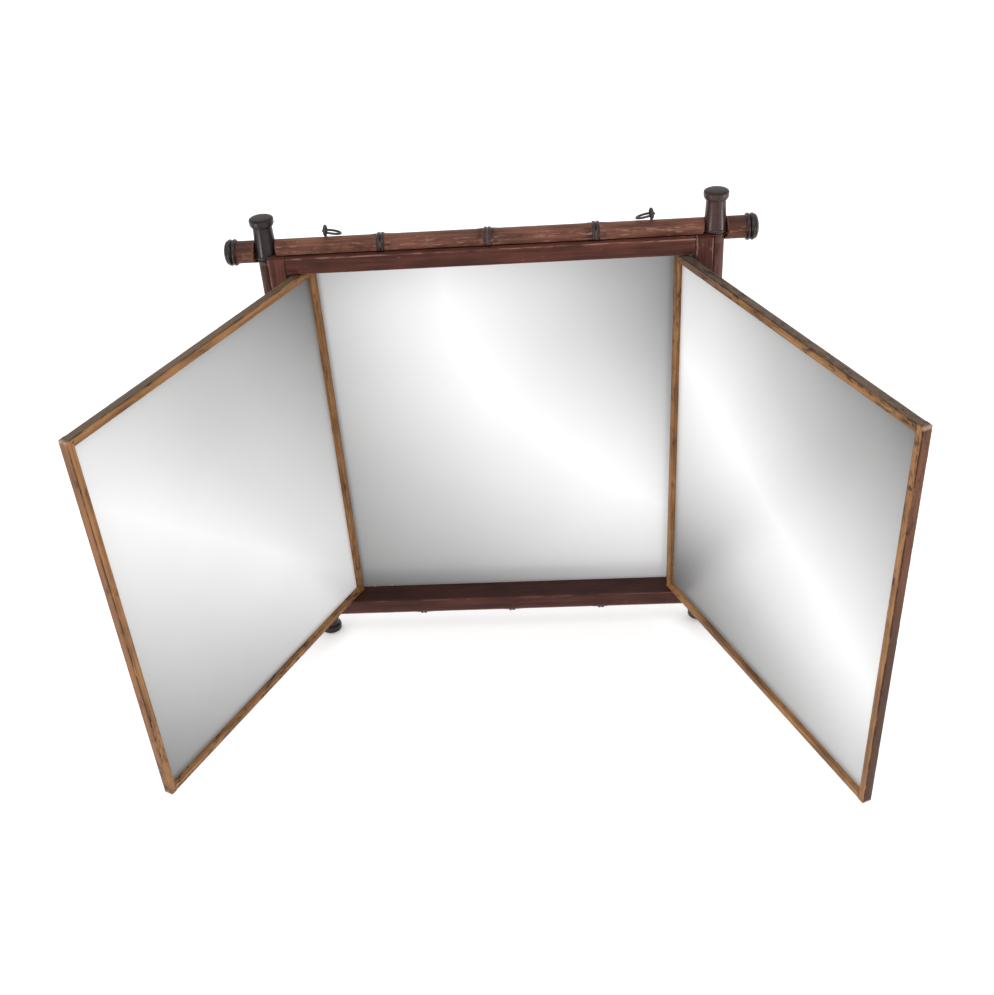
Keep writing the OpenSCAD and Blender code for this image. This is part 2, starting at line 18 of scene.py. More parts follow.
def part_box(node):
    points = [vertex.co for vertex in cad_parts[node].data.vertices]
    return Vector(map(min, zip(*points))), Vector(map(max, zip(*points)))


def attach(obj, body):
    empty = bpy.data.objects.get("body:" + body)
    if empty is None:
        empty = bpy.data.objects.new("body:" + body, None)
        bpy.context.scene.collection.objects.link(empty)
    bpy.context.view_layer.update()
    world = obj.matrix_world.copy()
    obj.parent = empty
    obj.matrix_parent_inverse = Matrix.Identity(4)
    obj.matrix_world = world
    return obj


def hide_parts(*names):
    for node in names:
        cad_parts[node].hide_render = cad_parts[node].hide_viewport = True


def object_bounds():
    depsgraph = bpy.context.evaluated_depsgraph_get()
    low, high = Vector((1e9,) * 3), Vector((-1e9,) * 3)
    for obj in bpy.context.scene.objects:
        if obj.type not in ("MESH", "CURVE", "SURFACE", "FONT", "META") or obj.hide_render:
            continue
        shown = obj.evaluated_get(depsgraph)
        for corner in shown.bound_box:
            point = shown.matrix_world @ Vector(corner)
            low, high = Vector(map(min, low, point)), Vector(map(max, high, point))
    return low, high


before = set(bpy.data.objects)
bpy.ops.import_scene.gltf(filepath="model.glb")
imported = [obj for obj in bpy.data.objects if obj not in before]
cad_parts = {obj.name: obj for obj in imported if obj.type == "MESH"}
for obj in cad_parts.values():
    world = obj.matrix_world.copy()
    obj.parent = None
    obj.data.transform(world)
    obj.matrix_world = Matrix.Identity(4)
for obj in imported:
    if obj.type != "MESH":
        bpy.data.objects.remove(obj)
cad_low, cad_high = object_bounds()
MM = 0.001
print("CAD box in mm:", [round(side / MM, 1) for side in cad_high - cad_low])

# %% [markdown]
# ## The camera
# The photograph was taken from a little above, looking about 35 degrees down, with the camera turned
# slightly to the left and tilted. A camera's place and turn could be set by eye, but here they come
# from lining up some sixty measured points of the photograph with the CAD model. The turn reads from
# right to left: roll about the view direction, tip down from level, then turn about the vertical.
# The shift moves the frame sideways by under 3% of its width, which the photograph's crop needs.

# %% Camera
PHOTO_W, PHOTO_H = 994, 995
CAMERA_AT = Vector((0.0456, -0.9448, 0.5999))
LOOK_DOWN, TURN_LEFT, ROLL = 0.6160, 0.0824, -0.0854
FOCAL_PIXELS = 1276.2
CENTRE_PIXEL = Vector((470.0, 494.9))
SENSOR = 36.0


def make_camera():
    """A camera that sees what the photograph sees."""
    data = bpy.data.cameras.new("camera")
    data.sensor_fit = "HORIZONTAL"
    data.sensor_width = SENSOR
    data.lens = FOCAL_PIXELS / PHOTO_W * SENSOR
    data.shift_x = 0.5 - CENTRE_PIXEL.x / PHOTO_W
    data.shift_y = (CENTRE_PIXEL.y - PHOTO_H / 2) / PHOTO_W
    camera = bpy.data.objects.new("camera", data)
    turn = (Matrix.Rotation(TURN_LEFT, 4, "Z") @ Matrix.Rotation(math.pi / 2 - LOOK_DOWN, 4, "X")
            @ Matrix.Rotation(ROLL, 4, "Z"))
    camera.matrix_world = Matrix.Translation(CAMERA_AT) @ turn
    bpy.context.scene.collection.objects.link(camera)
    bpy.context.scene.camera = camera
    return data


lens = make_camera()
print("lens in mm:", round(lens.lens, 1), "shift:", round(lens.shift_x, 4), round(lens.shift_y, 4))

# %% [markdown]
# ## Light and floor
# The object stands alone on white. A bright even world gives nearly all of the light, as a photographer's
# white room does, and a soft lamp over the camera gives it a direction. Upright turned wood sends light
# from low down back to a high camera, so two low lamps, like windows on both sides, draw the streaks on
# the lacquered ends. The floor is a plain white plane just under the posts. It glows a little, as a lit
# table does, so that it stays white under the mirror.

# %% Studio
FLOOR_GAP = 0.5 * MM
FLOOR_HALF = 8.0
FLOOR_TONE = (0.93, 0.93, 0.93, 1.0)
FLOOR_GLOW = 0.20
WORLD_STRENGTH = 1.2
LAMPS = {  # name: place, size, watts
    "soft lamp": ((0.05, -0.75, 1.35), 0.5, 4.0),
    "left window": ((-0.95, -0.85, -0.05), 0.25, 2.6),
    "right window": ((1.25, -0.45, -0.05), 0.25, 3.0),
}


def make_world():
    """An even white surrounding."""
    world = bpy.data.worlds.new("white room")
    world.use_nodes = True
    world.node_tree.nodes["Background"].inputs["Color"].default_value = (1, 1, 1, 1)
    world.node_tree.nodes["Background"].inputs["Strength"].default_value = WORLD_STRENGTH
    bpy.context.scene.world = world


def make_lamp(name, at, size, watts):
    """A square soft lamp that faces the top of the mirror."""
    data = bpy.data.lights.new(name, "AREA")
    data.size = size
    data.energy = watts
    lamp = bpy.data.objects.new(name, data)
    lamp.location = at
    lamp.rotation_euler = (Vector((0, 0, cad_high.z)) - Vector(at)).to_track_quat("-Z", "Y").to_euler()
    bpy.context.scene.collection.objects.link(lamp)


def make_floor():
    """A pale plane under the posts."""
    mesh = bpy.data.meshes.new("floor")
    z = cad_low.z - FLOOR_GAP
    corners = [(-1, -1), (1, -1), (1, 1), (-1, 1)]
    mesh.from_pydata([(x * FLOOR_HALF, y * FLOOR_HALF, z) for x, y in corners], [], [(0, 1, 2, 3)])
    floor = bpy.data.objects.new("floor", mesh)
    bpy.context.scene.collection.objects.link(floor)
    finish = bpy.data.materials.new("pale floor")
    finish.use_nodes = True
    shader = finish.node_tree.nodes["Principled BSDF"]
    shader.inputs["Base Color"].default_value = FLOOR_TONE
    shader.inputs["Roughness"].default_value = 1.0
    shader.inputs["Specular IOR Level"].default_value = 0.0
    shader.inputs["Emission Color"].default_value = (1, 1, 1, 1)
    shader.inputs["Emission Strength"].default_value = FLOOR_GLOW
    mesh.materials.append(finish)


make_world()
for lamp_name, lamp_values in LAMPS.items():
    make_lamp(lamp_name, *lamp_values)
make_floor()
bpy.context.scene.view_settings.view_transform = "Standard"
print("floor at z =", round(cad_low.z - FLOOR_GAP, 4))

# %% [markdown]
# ## Two small helpers for node trees
# Every material and every Geometry Nodes tree below is a graph of nodes. Making each node by hand is
# long and hard to read, so a Wire stands for one socket and turns +, -, * and / into Math nodes, and
# Nodes.node() makes any other node: its type, its settings, then the values or wires of its sockets.

# %% Wires and nodes


class Wire:
    """The output of a node. Sums on it add Math nodes to its tree."""

    def __init__(self, nodes, socket):
        self.nodes = nodes
        self.socket = socket

    def maths(self, operation, *others, swap=False):
        values = [self, *others]
        if swap:
            values.reverse()
        return self.nodes.node("ShaderNodeMath", {"operation": operation}, dict(enumerate(values)))

    def __add__(self, other):
        return self.maths("ADD", other)

    def __radd__(self, other):
        return self.maths("ADD", other)

    def __sub__(self, other):
        return self.maths("SUBTRACT", other)

    def __rsub__(self, other):
        return self.maths("SUBTRACT", other, swap=True)

    def __mul__(self, other):
        return self.maths("MULTIPLY", other)

    def __rmul__(self, other):
        return self.maths("MULTIPLY", other)

    def __truediv__(self, other):
        return self.maths("DIVIDE", other)

    def __rtruediv__(self, other):
        return self.maths("DIVIDE", other, swap=True)

    def __abs__(self):
        return self.maths("ABSOLUTE")

    def at_most(self, other):
        return self.maths("MINIMUM", other)

    def at_least(self, other):
        return self.maths("MAXIMUM", other)

    def ramp(self, start, end):
        """0 at start, 1 at end and smooth between; start may be the larger."""
        return self.nodes.node(
            "ShaderNodeMapRange", {"interpolation_type": "SMOOTHSTEP"},
            {"Value": self, "From Min": start, "From Max": end, "To Min": 0.0, "To Max": 1.0})


class Nodes:
    """A node tree that is being written."""

    def __init__(self, tree):
        self.tree = tree

    def node(self, kind, settings=None, inputs=None, output=0):
        """Makes one node: its settings first, then the values or wires of its sockets."""
        made = self.tree.nodes.new(kind)
        for name, value in (settings or {}).items():
            setattr(made, name, value)
        for name, value in (inputs or {}).items():
            for item in value if isinstance(value, list) else [value]:
                if isinstance(item, Wire):
                    self.tree.links.new(item.socket, made.inputs[name])
                else:
                    made.inputs[name].default_value = item
        return Wire(self, made.outputs[output])


print("helpers ready:", Wire.__name__, Nodes.__name__)

# %% [markdown]
# ## Paint: a material written from masks
# Old wood is many thin layers: a stain, grain that shows through it, dirt in the hollows, and bare
# pale wood where hands have rubbed. Each layer is a mask between 0 and 1 that lets one colour show
# over another. Patterns read Object coordinates, so they sit still in the wood when a wing turns.

# %% Paint


class Paint(Nodes):
    """One material: masks mix its colours, roughness and relief."""

    def __init__(self, name, constants=None, wing=None):
        self.material = bpy.data.materials.new(name)
        self.material.use_nodes = True
        super().__init__(self.material.node_tree)
        self.shader = self.tree.nodes["Principled BSDF"]
        for socket, value in (constants or {}).items():
            self.shader.inputs[socket].default_value = value
        coordinates = self.tree.nodes.new("ShaderNodeTexCoord")
        self.place = Wire(self, coordinates.outputs["Object"])
        if wing:
            self.place = self.in_wing(wing)

    def in_wing(self, wing):
        """The coordinates in a wing as it was made: closed, with its pin at the origin."""
        return self.node("ShaderNodeMapping", {"vector_type": "TEXTURE"}, {
            "Vector": self.place, "Location": wing["pin"], "Rotation": (0, 0, wing["turn"]),
            "Scale": (wing["flip"], 1, 1)})

    def axes(self, place):
        """The three coordinates of a place, as numbers."""
        split = self.tree.nodes.new("ShaderNodeSeparateXYZ")
        self.tree.links.new(place.socket, split.inputs[0])
        return [Wire(self, split.outputs[i]) for i in range(3)]

    def stretched(self, scale, shift):
        """The place times one scale, or a scale for each axis, and moved away from other patterns."""
        scale = scale if isinstance(scale, tuple) else (scale, scale, scale)
        return self.node("ShaderNodeVectorMath", {"operation": "MULTIPLY_ADD"},
                         {0: self.place, 1: scale, 2: shift})

    def noise(self, scale, detail, rough, seed):
        """Soft cloudy noise."""
        stretched = self.stretched(scale, (seed, seed * 1.7, seed * 0.6))
        return self.node("ShaderNodeTexNoise", {"noise_dimensions": "3D"},
                         {"Vector": stretched, "Scale": 1.0, "Detail": detail, "Roughness": rough})

    def spots(self, scale, size, seed):
        """Round or drawn-out spots, one in most cells of a Voronoi pattern."""
        stretched = self.stretched(scale, (seed, seed * 1.3, seed * 0.4))
        distance = self.node("ShaderNodeTexVoronoi", {"feature": "F1"},
                             {"Vector": stretched, "Scale": 1.0, "Randomness": 1.0})
        return distance.ramp(size, size * 0.45)

    def mix(self, mask, under, over):
        """The colour over, where the mask is 1, and the colour under, where it is 0."""
        return self.node("ShaderNodeMix", {"data_type": "RGBA"}, {0: mask, 6: under, 7: over}, output=2)

    def layers(self, colour, *coats):
        """Lays coats of (mask, colour) over a colour, the last one on top."""
        for mask, over in coats:
            colour = self.mix(mask, colour, over)
        return colour

    def finish(self, colour, rough, height=None, depth=None, metal=None, coat=None):
        """Joins the finished masks to the shader and gives back the material."""
        if height is not None:
            bump = self.node("ShaderNodeBump", None, {"Height": height, "Distance": depth})
            self.tree.links.new(bump.socket, self.shader.inputs["Normal"])
        for socket, wire in (("Base Color", colour), ("Roughness", rough), ("Metallic", metal),
                             ("Coat Weight", coat)):
            if wire is not None:
                self.tree.links.new(wire.socket, self.shader.inputs[socket])
        return self.material


def stretch(along, lengthwise, across):
    """A noise scale that is drawn out along one axis, so that it looks like grain."""
    return tuple(lengthwise if axis == along else across for axis in "XYZ")


print("paint ready")

# %% [markdown]
# ## Stained wood
# The box, the poles and the wing frames are all stained softwood or beech, so one recipe serves them:
# streaks of grain between a dark and a light tone, cloudy blotches of thicker stain, short dark spots,
# pale flecks and scratches, and a rubbed mask that the caller supplies for its own arrises. The two
# tones, the masks and the gloss differ from piece to piece.

# %% Stained wood recipe
PALE_BARE = (0.26, 0.135, 0.105, 1)
# A dark dirt colour, also the colour of painted shade inside the box opening.
GRIME_AND_SHADE = (0.016, 0.009, 0.007, 1)
# Painted shade, for the seam along the board and the tops of post caps.
PAINTED_SHADE = (0.005, 0.002, 0.001, 1)
SATIN = {"Specular IOR Level": 0.11}


def stained(paint, along, dark, light, seed, rubbed=None, dirty=None, bare=PALE_BARE,
            grime_and_shade=GRIME_AND_SHADE, gloss=0.42, flecks=0.6, blotch=0.5):
    """Colours a wood: returns its colour, roughness and relief."""
    streak = paint.noise(stretch(along, 12, 420), 5, 0.62, seed)
    cloud = paint.noise(stretch(along, 26, 60), 3, 0.5, seed + 3)
    fibre = paint.noise(stretch(along, 60, 2400), 2, 0.6, seed + 7)
    tone = (streak * 0.62 + (cloud - 0.5) * blotch + fibre * 0.12).ramp(0.17, 0.57)
    fleck = paint.spots(stretch(along, 95, 260), 0.2, seed + 11) * cloud.ramp(0.5, 0.66) * flecks
    dent = paint.spots(stretch(along, 42, 150), 0.22, seed + 17) * streak.ramp(0.47, 0.6)
    colour = paint.layers(paint.mix(tone, dark, light), (fleck, bare), (dent * 0.75, grime_and_shade))
    # Dirt, and painted shade where a caller gives it, in the dark colour.
    if dirty is not None:
        colour = paint.mix(dirty, colour, grime_and_shade)
    if rubbed is not None:
        colour = paint.mix(rubbed, colour, bare)
    rough = (cloud * 0.3 + fibre * 0.12 + (gloss - 0.2)).at_least(0.12)
    height = streak * 0.35 + fibre * 0.25 - dent * 1.2 - fleck * 0.5
    return colour, rough, height


print("wood recipe ready")

# %% [markdown]
# ## Turned faux bamboo
# Each pole and post is one stick from a lathe: a plain rod with three nodes, each a swelling with two
# beads, and a turned end. A lathe shape follows a rule, so this is a piece for Geometry Nodes. Python
# writes the profile from the sizes, and the tree spins it round its axis, gives it the unevenness of
# hand work, and cuts the flat seat and the half laps where sticks cross.

# %% Profiles of the sticks
BEAD_STEPS, SLOPE_STEPS, FLARE_STEPS = 10, 8, 12
POLE_R, POST_R = 8.9 * MM, 7.5 * MM
POLE_LEN, POST_LEN = 419 * MM, 425 * MM
POLE_NODES, POST_NODES = 84 * MM, 86 * MM
BEAD_H, BEAD_W = 1.1 * MM, 3 * MM
SWELL_H, SWELL_W = 0.4 * MM, 20 * MM
END_BEAD_H, END_BEAD_W, TIP_H = 1.7 * MM, 3.6 * MM, 3.4 * MM
NECK_R, CAP_R, FLARE_R = 7.8 * MM, 9.8 * MM, 9.3 * MM
RIM_H, RIM_EDGE, CROWN_H = 6.4 * MM, 1.2 * MM, 0.8 * MM
TURNED_LEN = 33 * MM
LONGEST_STEP = 4 * MM
SAME_POINT = 1e-6


def arc(steps, start, end):
    """Evenly spaced angles from start to end, in degrees, as radians."""
    return [math.radians(start + (end - start) * i / steps) for i in range(steps + 1)]


def bead(at, radius, height, width):
    """A half-round bead: points of (radius, place) from its upper side down."""
    return [(radius + height * math.sin(a), at + width / 2 * math.cos(a)) for a in arc(BEAD_STEPS, 0, 180)]


def flip(points):
    """The same points for the other end of the stick."""
    return [(radius, -at) for radius, at in reversed(points)]


def bamboo_node(radius, at):
    """A swelling with two beads on it."""
    slope = [(radius + SWELL_H * (1 - math.cos(a)) / 2,
              SWELL_W / 2 + (BEAD_W - SWELL_W / 2) * a / math.pi) for a in arc(SLOPE_STEPS, 0, 180)]
    beads = (bead(BEAD_W / 2, radius + SWELL_H, BEAD_H, BEAD_W)
             + bead(-BEAD_W / 2, radius + SWELL_H, BEAD_H, BEAD_W))
    return [(r, at + z) for r, z in slope + beads + flip(slope)]


def pole_end():
    """The end of a level pole: a rounded tip and two beads."""
    tip_r = POLE_R + END_BEAD_H / 2
    tip = [(tip_r * math.sin(a), TIP_H * (math.cos(a) - 1)) for a in arc(BEAD_STEPS, 0, 90)]
    return (tip + bead(-TIP_H - END_BEAD_W / 2, POLE_R, END_BEAD_H, END_BEAD_W)
            + bead(-TIP_H - END_BEAD_W * 1.5, POLE_R, END_BEAD_H, END_BEAD_W))


def post_end():
    """The end of a post: crown, rim, neck, flare and the beads of its last node."""
    crown_r, rim_foot, neck_at = CAP_R - RIM_EDGE, -CROWN_H - RIM_H / 2, -CROWN_H - RIM_H
    flare_len = TURNED_LEN - BEAD_W + neck_at
    quarter = arc(BEAD_STEPS, 0, 90)
    crown = [(crown_r * math.sin(a), CROWN_H * (math.cos(a) - 1)) for a in quarter]
    edge = [(crown_r + RIM_EDGE * math.sin(a), -CROWN_H - RIM_EDGE * (1 - math.cos(a))) for a in quarter]
    under = [(NECK_R + (CAP_R - NECK_R) * math.cos(a), rim_foot - RIM_H / 2 * math.sin(a)) for a in quarter]
    flare = [(NECK_R + (FLARE_R - NECK_R) * part * part, neck_at - flare_len * part)
             for part in (i / FLARE_STEPS for i in range(FLARE_STEPS + 1))]
    return (crown + edge + under + flare
            + bead(BEAD_W / 2 - TURNED_LEN, FLARE_R - BEAD_H / 2, BEAD_H, BEAD_W)
            + bead(-BEAD_W / 2 - TURNED_LEN, POST_R, FLARE_R - POST_R, BEAD_W))


def whole_stick(end, radius, spacing, length):
    """The profile of a whole stick, with no straight step longer than LONGEST_STEP."""
    points = [(r, z + length / 2) for r, z in end]
    for at in (spacing, 0, -spacing):
        points += bamboo_node(radius, at)
    points += [(r, z - length / 2) for r, z in flip(end)]
    filled = [points[0]]
    for r, z in points[1:]:
        r0, z0 = filled[-1]
        steps = max(1, math.ceil(math.dist((r, z), (r0, z0)) / LONGEST_STEP))
        if math.dist((r, z), (r0, z0)) > SAME_POINT:
            filled += [(r0 + (r - r0) * i / steps, z0 + (z - z0) * i / steps) for i in range(1, steps + 1)]
    return filled


pole_profile = whole_stick(pole_end(), POLE_R, POLE_NODES, POLE_LEN)
post_profile = whole_stick(post_end(), POST_R, POST_NODES, POST_LEN)
print("profile points:", len(pole_profile), "for a pole,", len(post_profile), "for a post")

# %% [markdown]
# ## Making meshes
# A finished piece is a plain mesh at the origin. These helpers turn a bmesh into an object, close it,
# point its faces outwards, and let flat faces meet in a crisp edge while round ones stay smooth.

# %% Mesh helpers
CRISP = math.radians(38)


def link(mesh):
    """An object at the origin for a mesh."""
    piece = bpy.data.objects.new(mesh.name, mesh)
    bpy.context.scene.collection.objects.link(piece)
    return piece


def close_up(mesh):
    """Merges doubles, points faces outwards and keeps sharp edges crisp."""
    bm = bmesh.new()
    bm.from_mesh(mesh)
    bmesh.ops.remove_doubles(bm, verts=bm.verts, dist=SAME_POINT)
    bmesh.ops.dissolve_degenerate(bm, edges=bm.edges, dist=1e-7)
    bmesh.ops.recalc_face_normals(bm, faces=bm.faces)
    bm.to_mesh(mesh)
    bm.free()
    for face in mesh.polygons:
        face.use_smooth = True
    mesh.set_sharp_from_angle(angle=CRISP)
    return mesh


def applied(piece, name, finish):
    """A new plain object made from a piece with its modifiers carried out; the old one goes."""
    evaluated = piece.evaluated_get(bpy.context.evaluated_depsgraph_get())
    mesh = bpy.data.meshes.new_from_object(evaluated)
    bpy.data.objects.remove(piece)
    mesh.name = name
    close_up(mesh)
    mesh.materials.clear()
    mesh.materials.append(finish)
    return link(mesh)


def add_block(bm, low, high):
    """Adds a box between two corners."""
    middle = [(a + b) / 2 for a, b in zip(low, high)]
    size = [b - a for a, b in zip(low, high)]
    bmesh.ops.create_cube(bm, size=1, matrix=Matrix.Translation(middle) @ Matrix.Diagonal((*size, 1)))


def add_prism(bm, outline, low_y, high_y):
    """Adds a prism along Y whose section is an outline of (x, z) points."""
    near = [bm.verts.new((x, low_y, z)) for x, z in outline]
    far = [bm.verts.new((x, high_y, z)) for x, z in outline]
    bm.faces.new(near)
    bm.faces.new(list(reversed(far)))
    for i in range(len(outline)):
        j = (i + 1) % len(outline)
        bm.faces.new((near[j], near[i], far[i], far[j]))


def cutter(name, fill):
    """A tool object for a cut; fill adds its solids to a bmesh."""
    bm = bmesh.new()
    fill(bm)
    bmesh.ops.recalc_face_normals(bm, faces=bm.faces)
    mesh = bpy.data.meshes.new(name)
    bm.to_mesh(mesh)
    bm.free()
    return link(mesh)


print("mesh helpers ready")

# %% [markdown]
# ## The lathe
# The tree takes the profile as points and lays a grid over it: one column for each point and one row
# for each side. Every grid point then moves to its place on the stick, so the grid closes into a skin.
# A little noise, with a fixed seed, takes off a hair of wood here and there. The Boolean cuts the seat
# and the laps last, because the noise would otherwise make their flat faces rough.

# %% The lathe tree
AROUND_SCALE, ALONG_SCALE = 1.2, 90.0  # how fine the unevenness is, round the stick and along it


def group(name, sockets):
    """A new Geometry Nodes tree with named inputs, and its sockets' wires."""
    tree = bpy.data.node_groups.new(name, "GeometryNodeTree")
    tree.interface.new_socket("Geometry", in_out="INPUT", socket_type="NodeSocketGeometry")
    for socket, kind in sockets.items():
        tree.interface.new_socket(socket, in_out="INPUT", socket_type="NodeSocket" + kind)
    tree.interface.new_socket("Geometry", in_out="OUTPUT", socket_type="NodeSocketGeometry")
    nodes = Nodes(tree)
    entry = tree.nodes.new("NodeGroupInput")
    return nodes, {socket.name: Wire(nodes, socket) for socket in entry.outputs if socket.name}


def close_group(nodes, geometry, finish):
    """Ends a tree in Realize Instances and Set Material."""
    real = nodes.node("GeometryNodeRealizeInstances", None, {0: geometry})
    painted = nodes.node("GeometryNodeSetMaterial", None, {"Geometry": real, "Material": finish})
    nodes.tree.links.new(painted.socket, nodes.tree.nodes.new("NodeGroupOutput").inputs[0])
    return nodes.tree


def lathe_tree():
    """Spins a profile of (radius, 0, place) points into a stick and cuts it."""
    nodes, given = group("lathe", {
        "Sides": "Int", "Unevenness": "Float", "Seed": "Float", "Turn": "Rotation", "Place": "Vector",
        "Cutter": "Object", "Finish": "Material"})
    rings = nodes.node("GeometryNodeAttributeDomainSize", None, {"Geometry": given["Geometry"]})
    row = given["Sides"] + 1
    grid = nodes.node("GeometryNodeMeshGrid", None, {"Vertices X": rings, "Vertices Y": row})
    index = nodes.node("GeometryNodeInputIndex")
    ring = (index / row).maths("FLOOR")
    angle = (index - ring * row) * (2 * math.pi) / given["Sides"]
    point = nodes.node("GeometryNodeSampleIndex", {"data_type": "FLOAT_VECTOR", "clamp": True}, {
        "Geometry": given["Geometry"], "Index": ring,
        "Value": nodes.node("GeometryNodeInputPosition")})
    split = nodes.tree.nodes.new("ShaderNodeSeparateXYZ")
    nodes.tree.links.new(point.socket, split.inputs[0])
    radius, along = Wire(nodes, split.outputs[0]), Wire(nodes, split.outputs[2])
    spot = nodes.node("ShaderNodeCombineXYZ", None, {
        0: angle.maths("COSINE") * AROUND_SCALE, 1: angle.maths("SINE") * AROUND_SCALE,
        2: along * ALONG_SCALE})
    waver = nodes.node("ShaderNodeTexNoise", {"noise_dimensions": "4D"}, {
        "Vector": spot, "W": given["Seed"], "Scale": 1.0, "Detail": 2.0})
    worn = (radius - waver * given["Unevenness"]).at_least(0.0)
    skin = nodes.node("GeometryNodeSetPosition", None, {"Geometry": grid, "Position": nodes.node(
        "ShaderNodeCombineXYZ", None,
        {0: worn * angle.maths("COSINE"), 1: worn * angle.maths("SINE"), 2: along})})
    closed = nodes.node("GeometryNodeMergeByDistance", None, {"Geometry": skin, "Distance": 1e-5})
    placed = nodes.node("GeometryNodeTransform", None, {
        "Geometry": closed, "Translation": given["Place"], "Rotation": given["Turn"]})
    tool = nodes.node("GeometryNodeObjectInfo", {"transform_space": "ORIGINAL"},
                      {"Object": given["Cutter"]}, output="Geometry")
    cut = nodes.node("GeometryNodeMeshBoolean", {"operation": "DIFFERENCE", "solver": "EXACT"}, {
        "Mesh 1": placed, "Mesh 2": tool, "Self Intersection": True})
    return close_group(nodes, cut, given["Finish"])


def set_inputs(modifier, values):
    """Sets a modifier's inputs by their sockets' identifiers."""
    for socket in modifier.node_group.interface.items_tree:
        if socket.item_type == "SOCKET" and socket.in_out == "INPUT" and socket.name in values:
            modifier[socket.identifier] = values[socket.name]


def through_tree(name, tree, mesh, values):
    """Runs a mesh through a tree and keeps the result as a plain object."""
    piece = link(mesh)
    modifier = piece.modifiers.new(tree.name, "NODES")
    modifier.node_group = tree
    set_inputs(modifier, values)
    return applied(piece, name, values["Finish"])


lathe = lathe_tree()
print("lathe inputs:", [s.name for s in lathe.interface.items_tree if s.in_out == "INPUT"])

# %% [markdown]
# ## Finishes of the sticks
# The poles are stained brown and rubbed pale along the side that hands and dusters reach. Their beads
# and turned ends were painted nearly black, to look like the dark joints and cut ends of cane. Where a
# bead's crown has been rubbed, the paint is thin and the groove beside it shows a pale line. Painted
# shade darkens the seam where a stick meets its board and the flat top of a post's cap, and painted
# light makes the walls of the laps a lighter brown. The olive patches on the black are partly worn
# paint and partly a painted sheen.

# %% Bamboo finish
AXIS_Y = -15 * MM
POLE_Z, POST_X = 184 * MM, 176 * MM
BLACKENED = (0.016, 0.009, 0.009, 1)
BROWN_BLACK = (0.040, 0.019, 0.017, 1)
# Partly worn black paint, partly a painted sheen.
OLIVE_WEAR_AND_SHEEN = (0.085, 0.062, 0.045, 1)
# A lighter brown painted on the walls of the laps, as painted light.
LAP_WALL_PAINTED_LIGHT = (0.10, 0.045, 0.030, 1)
END_FROM = 150 * MM  # past this, a stick has no more nodes
CAP_TOP = 35.4 * MM  # from where a post's paint starts to the flat top of its cap


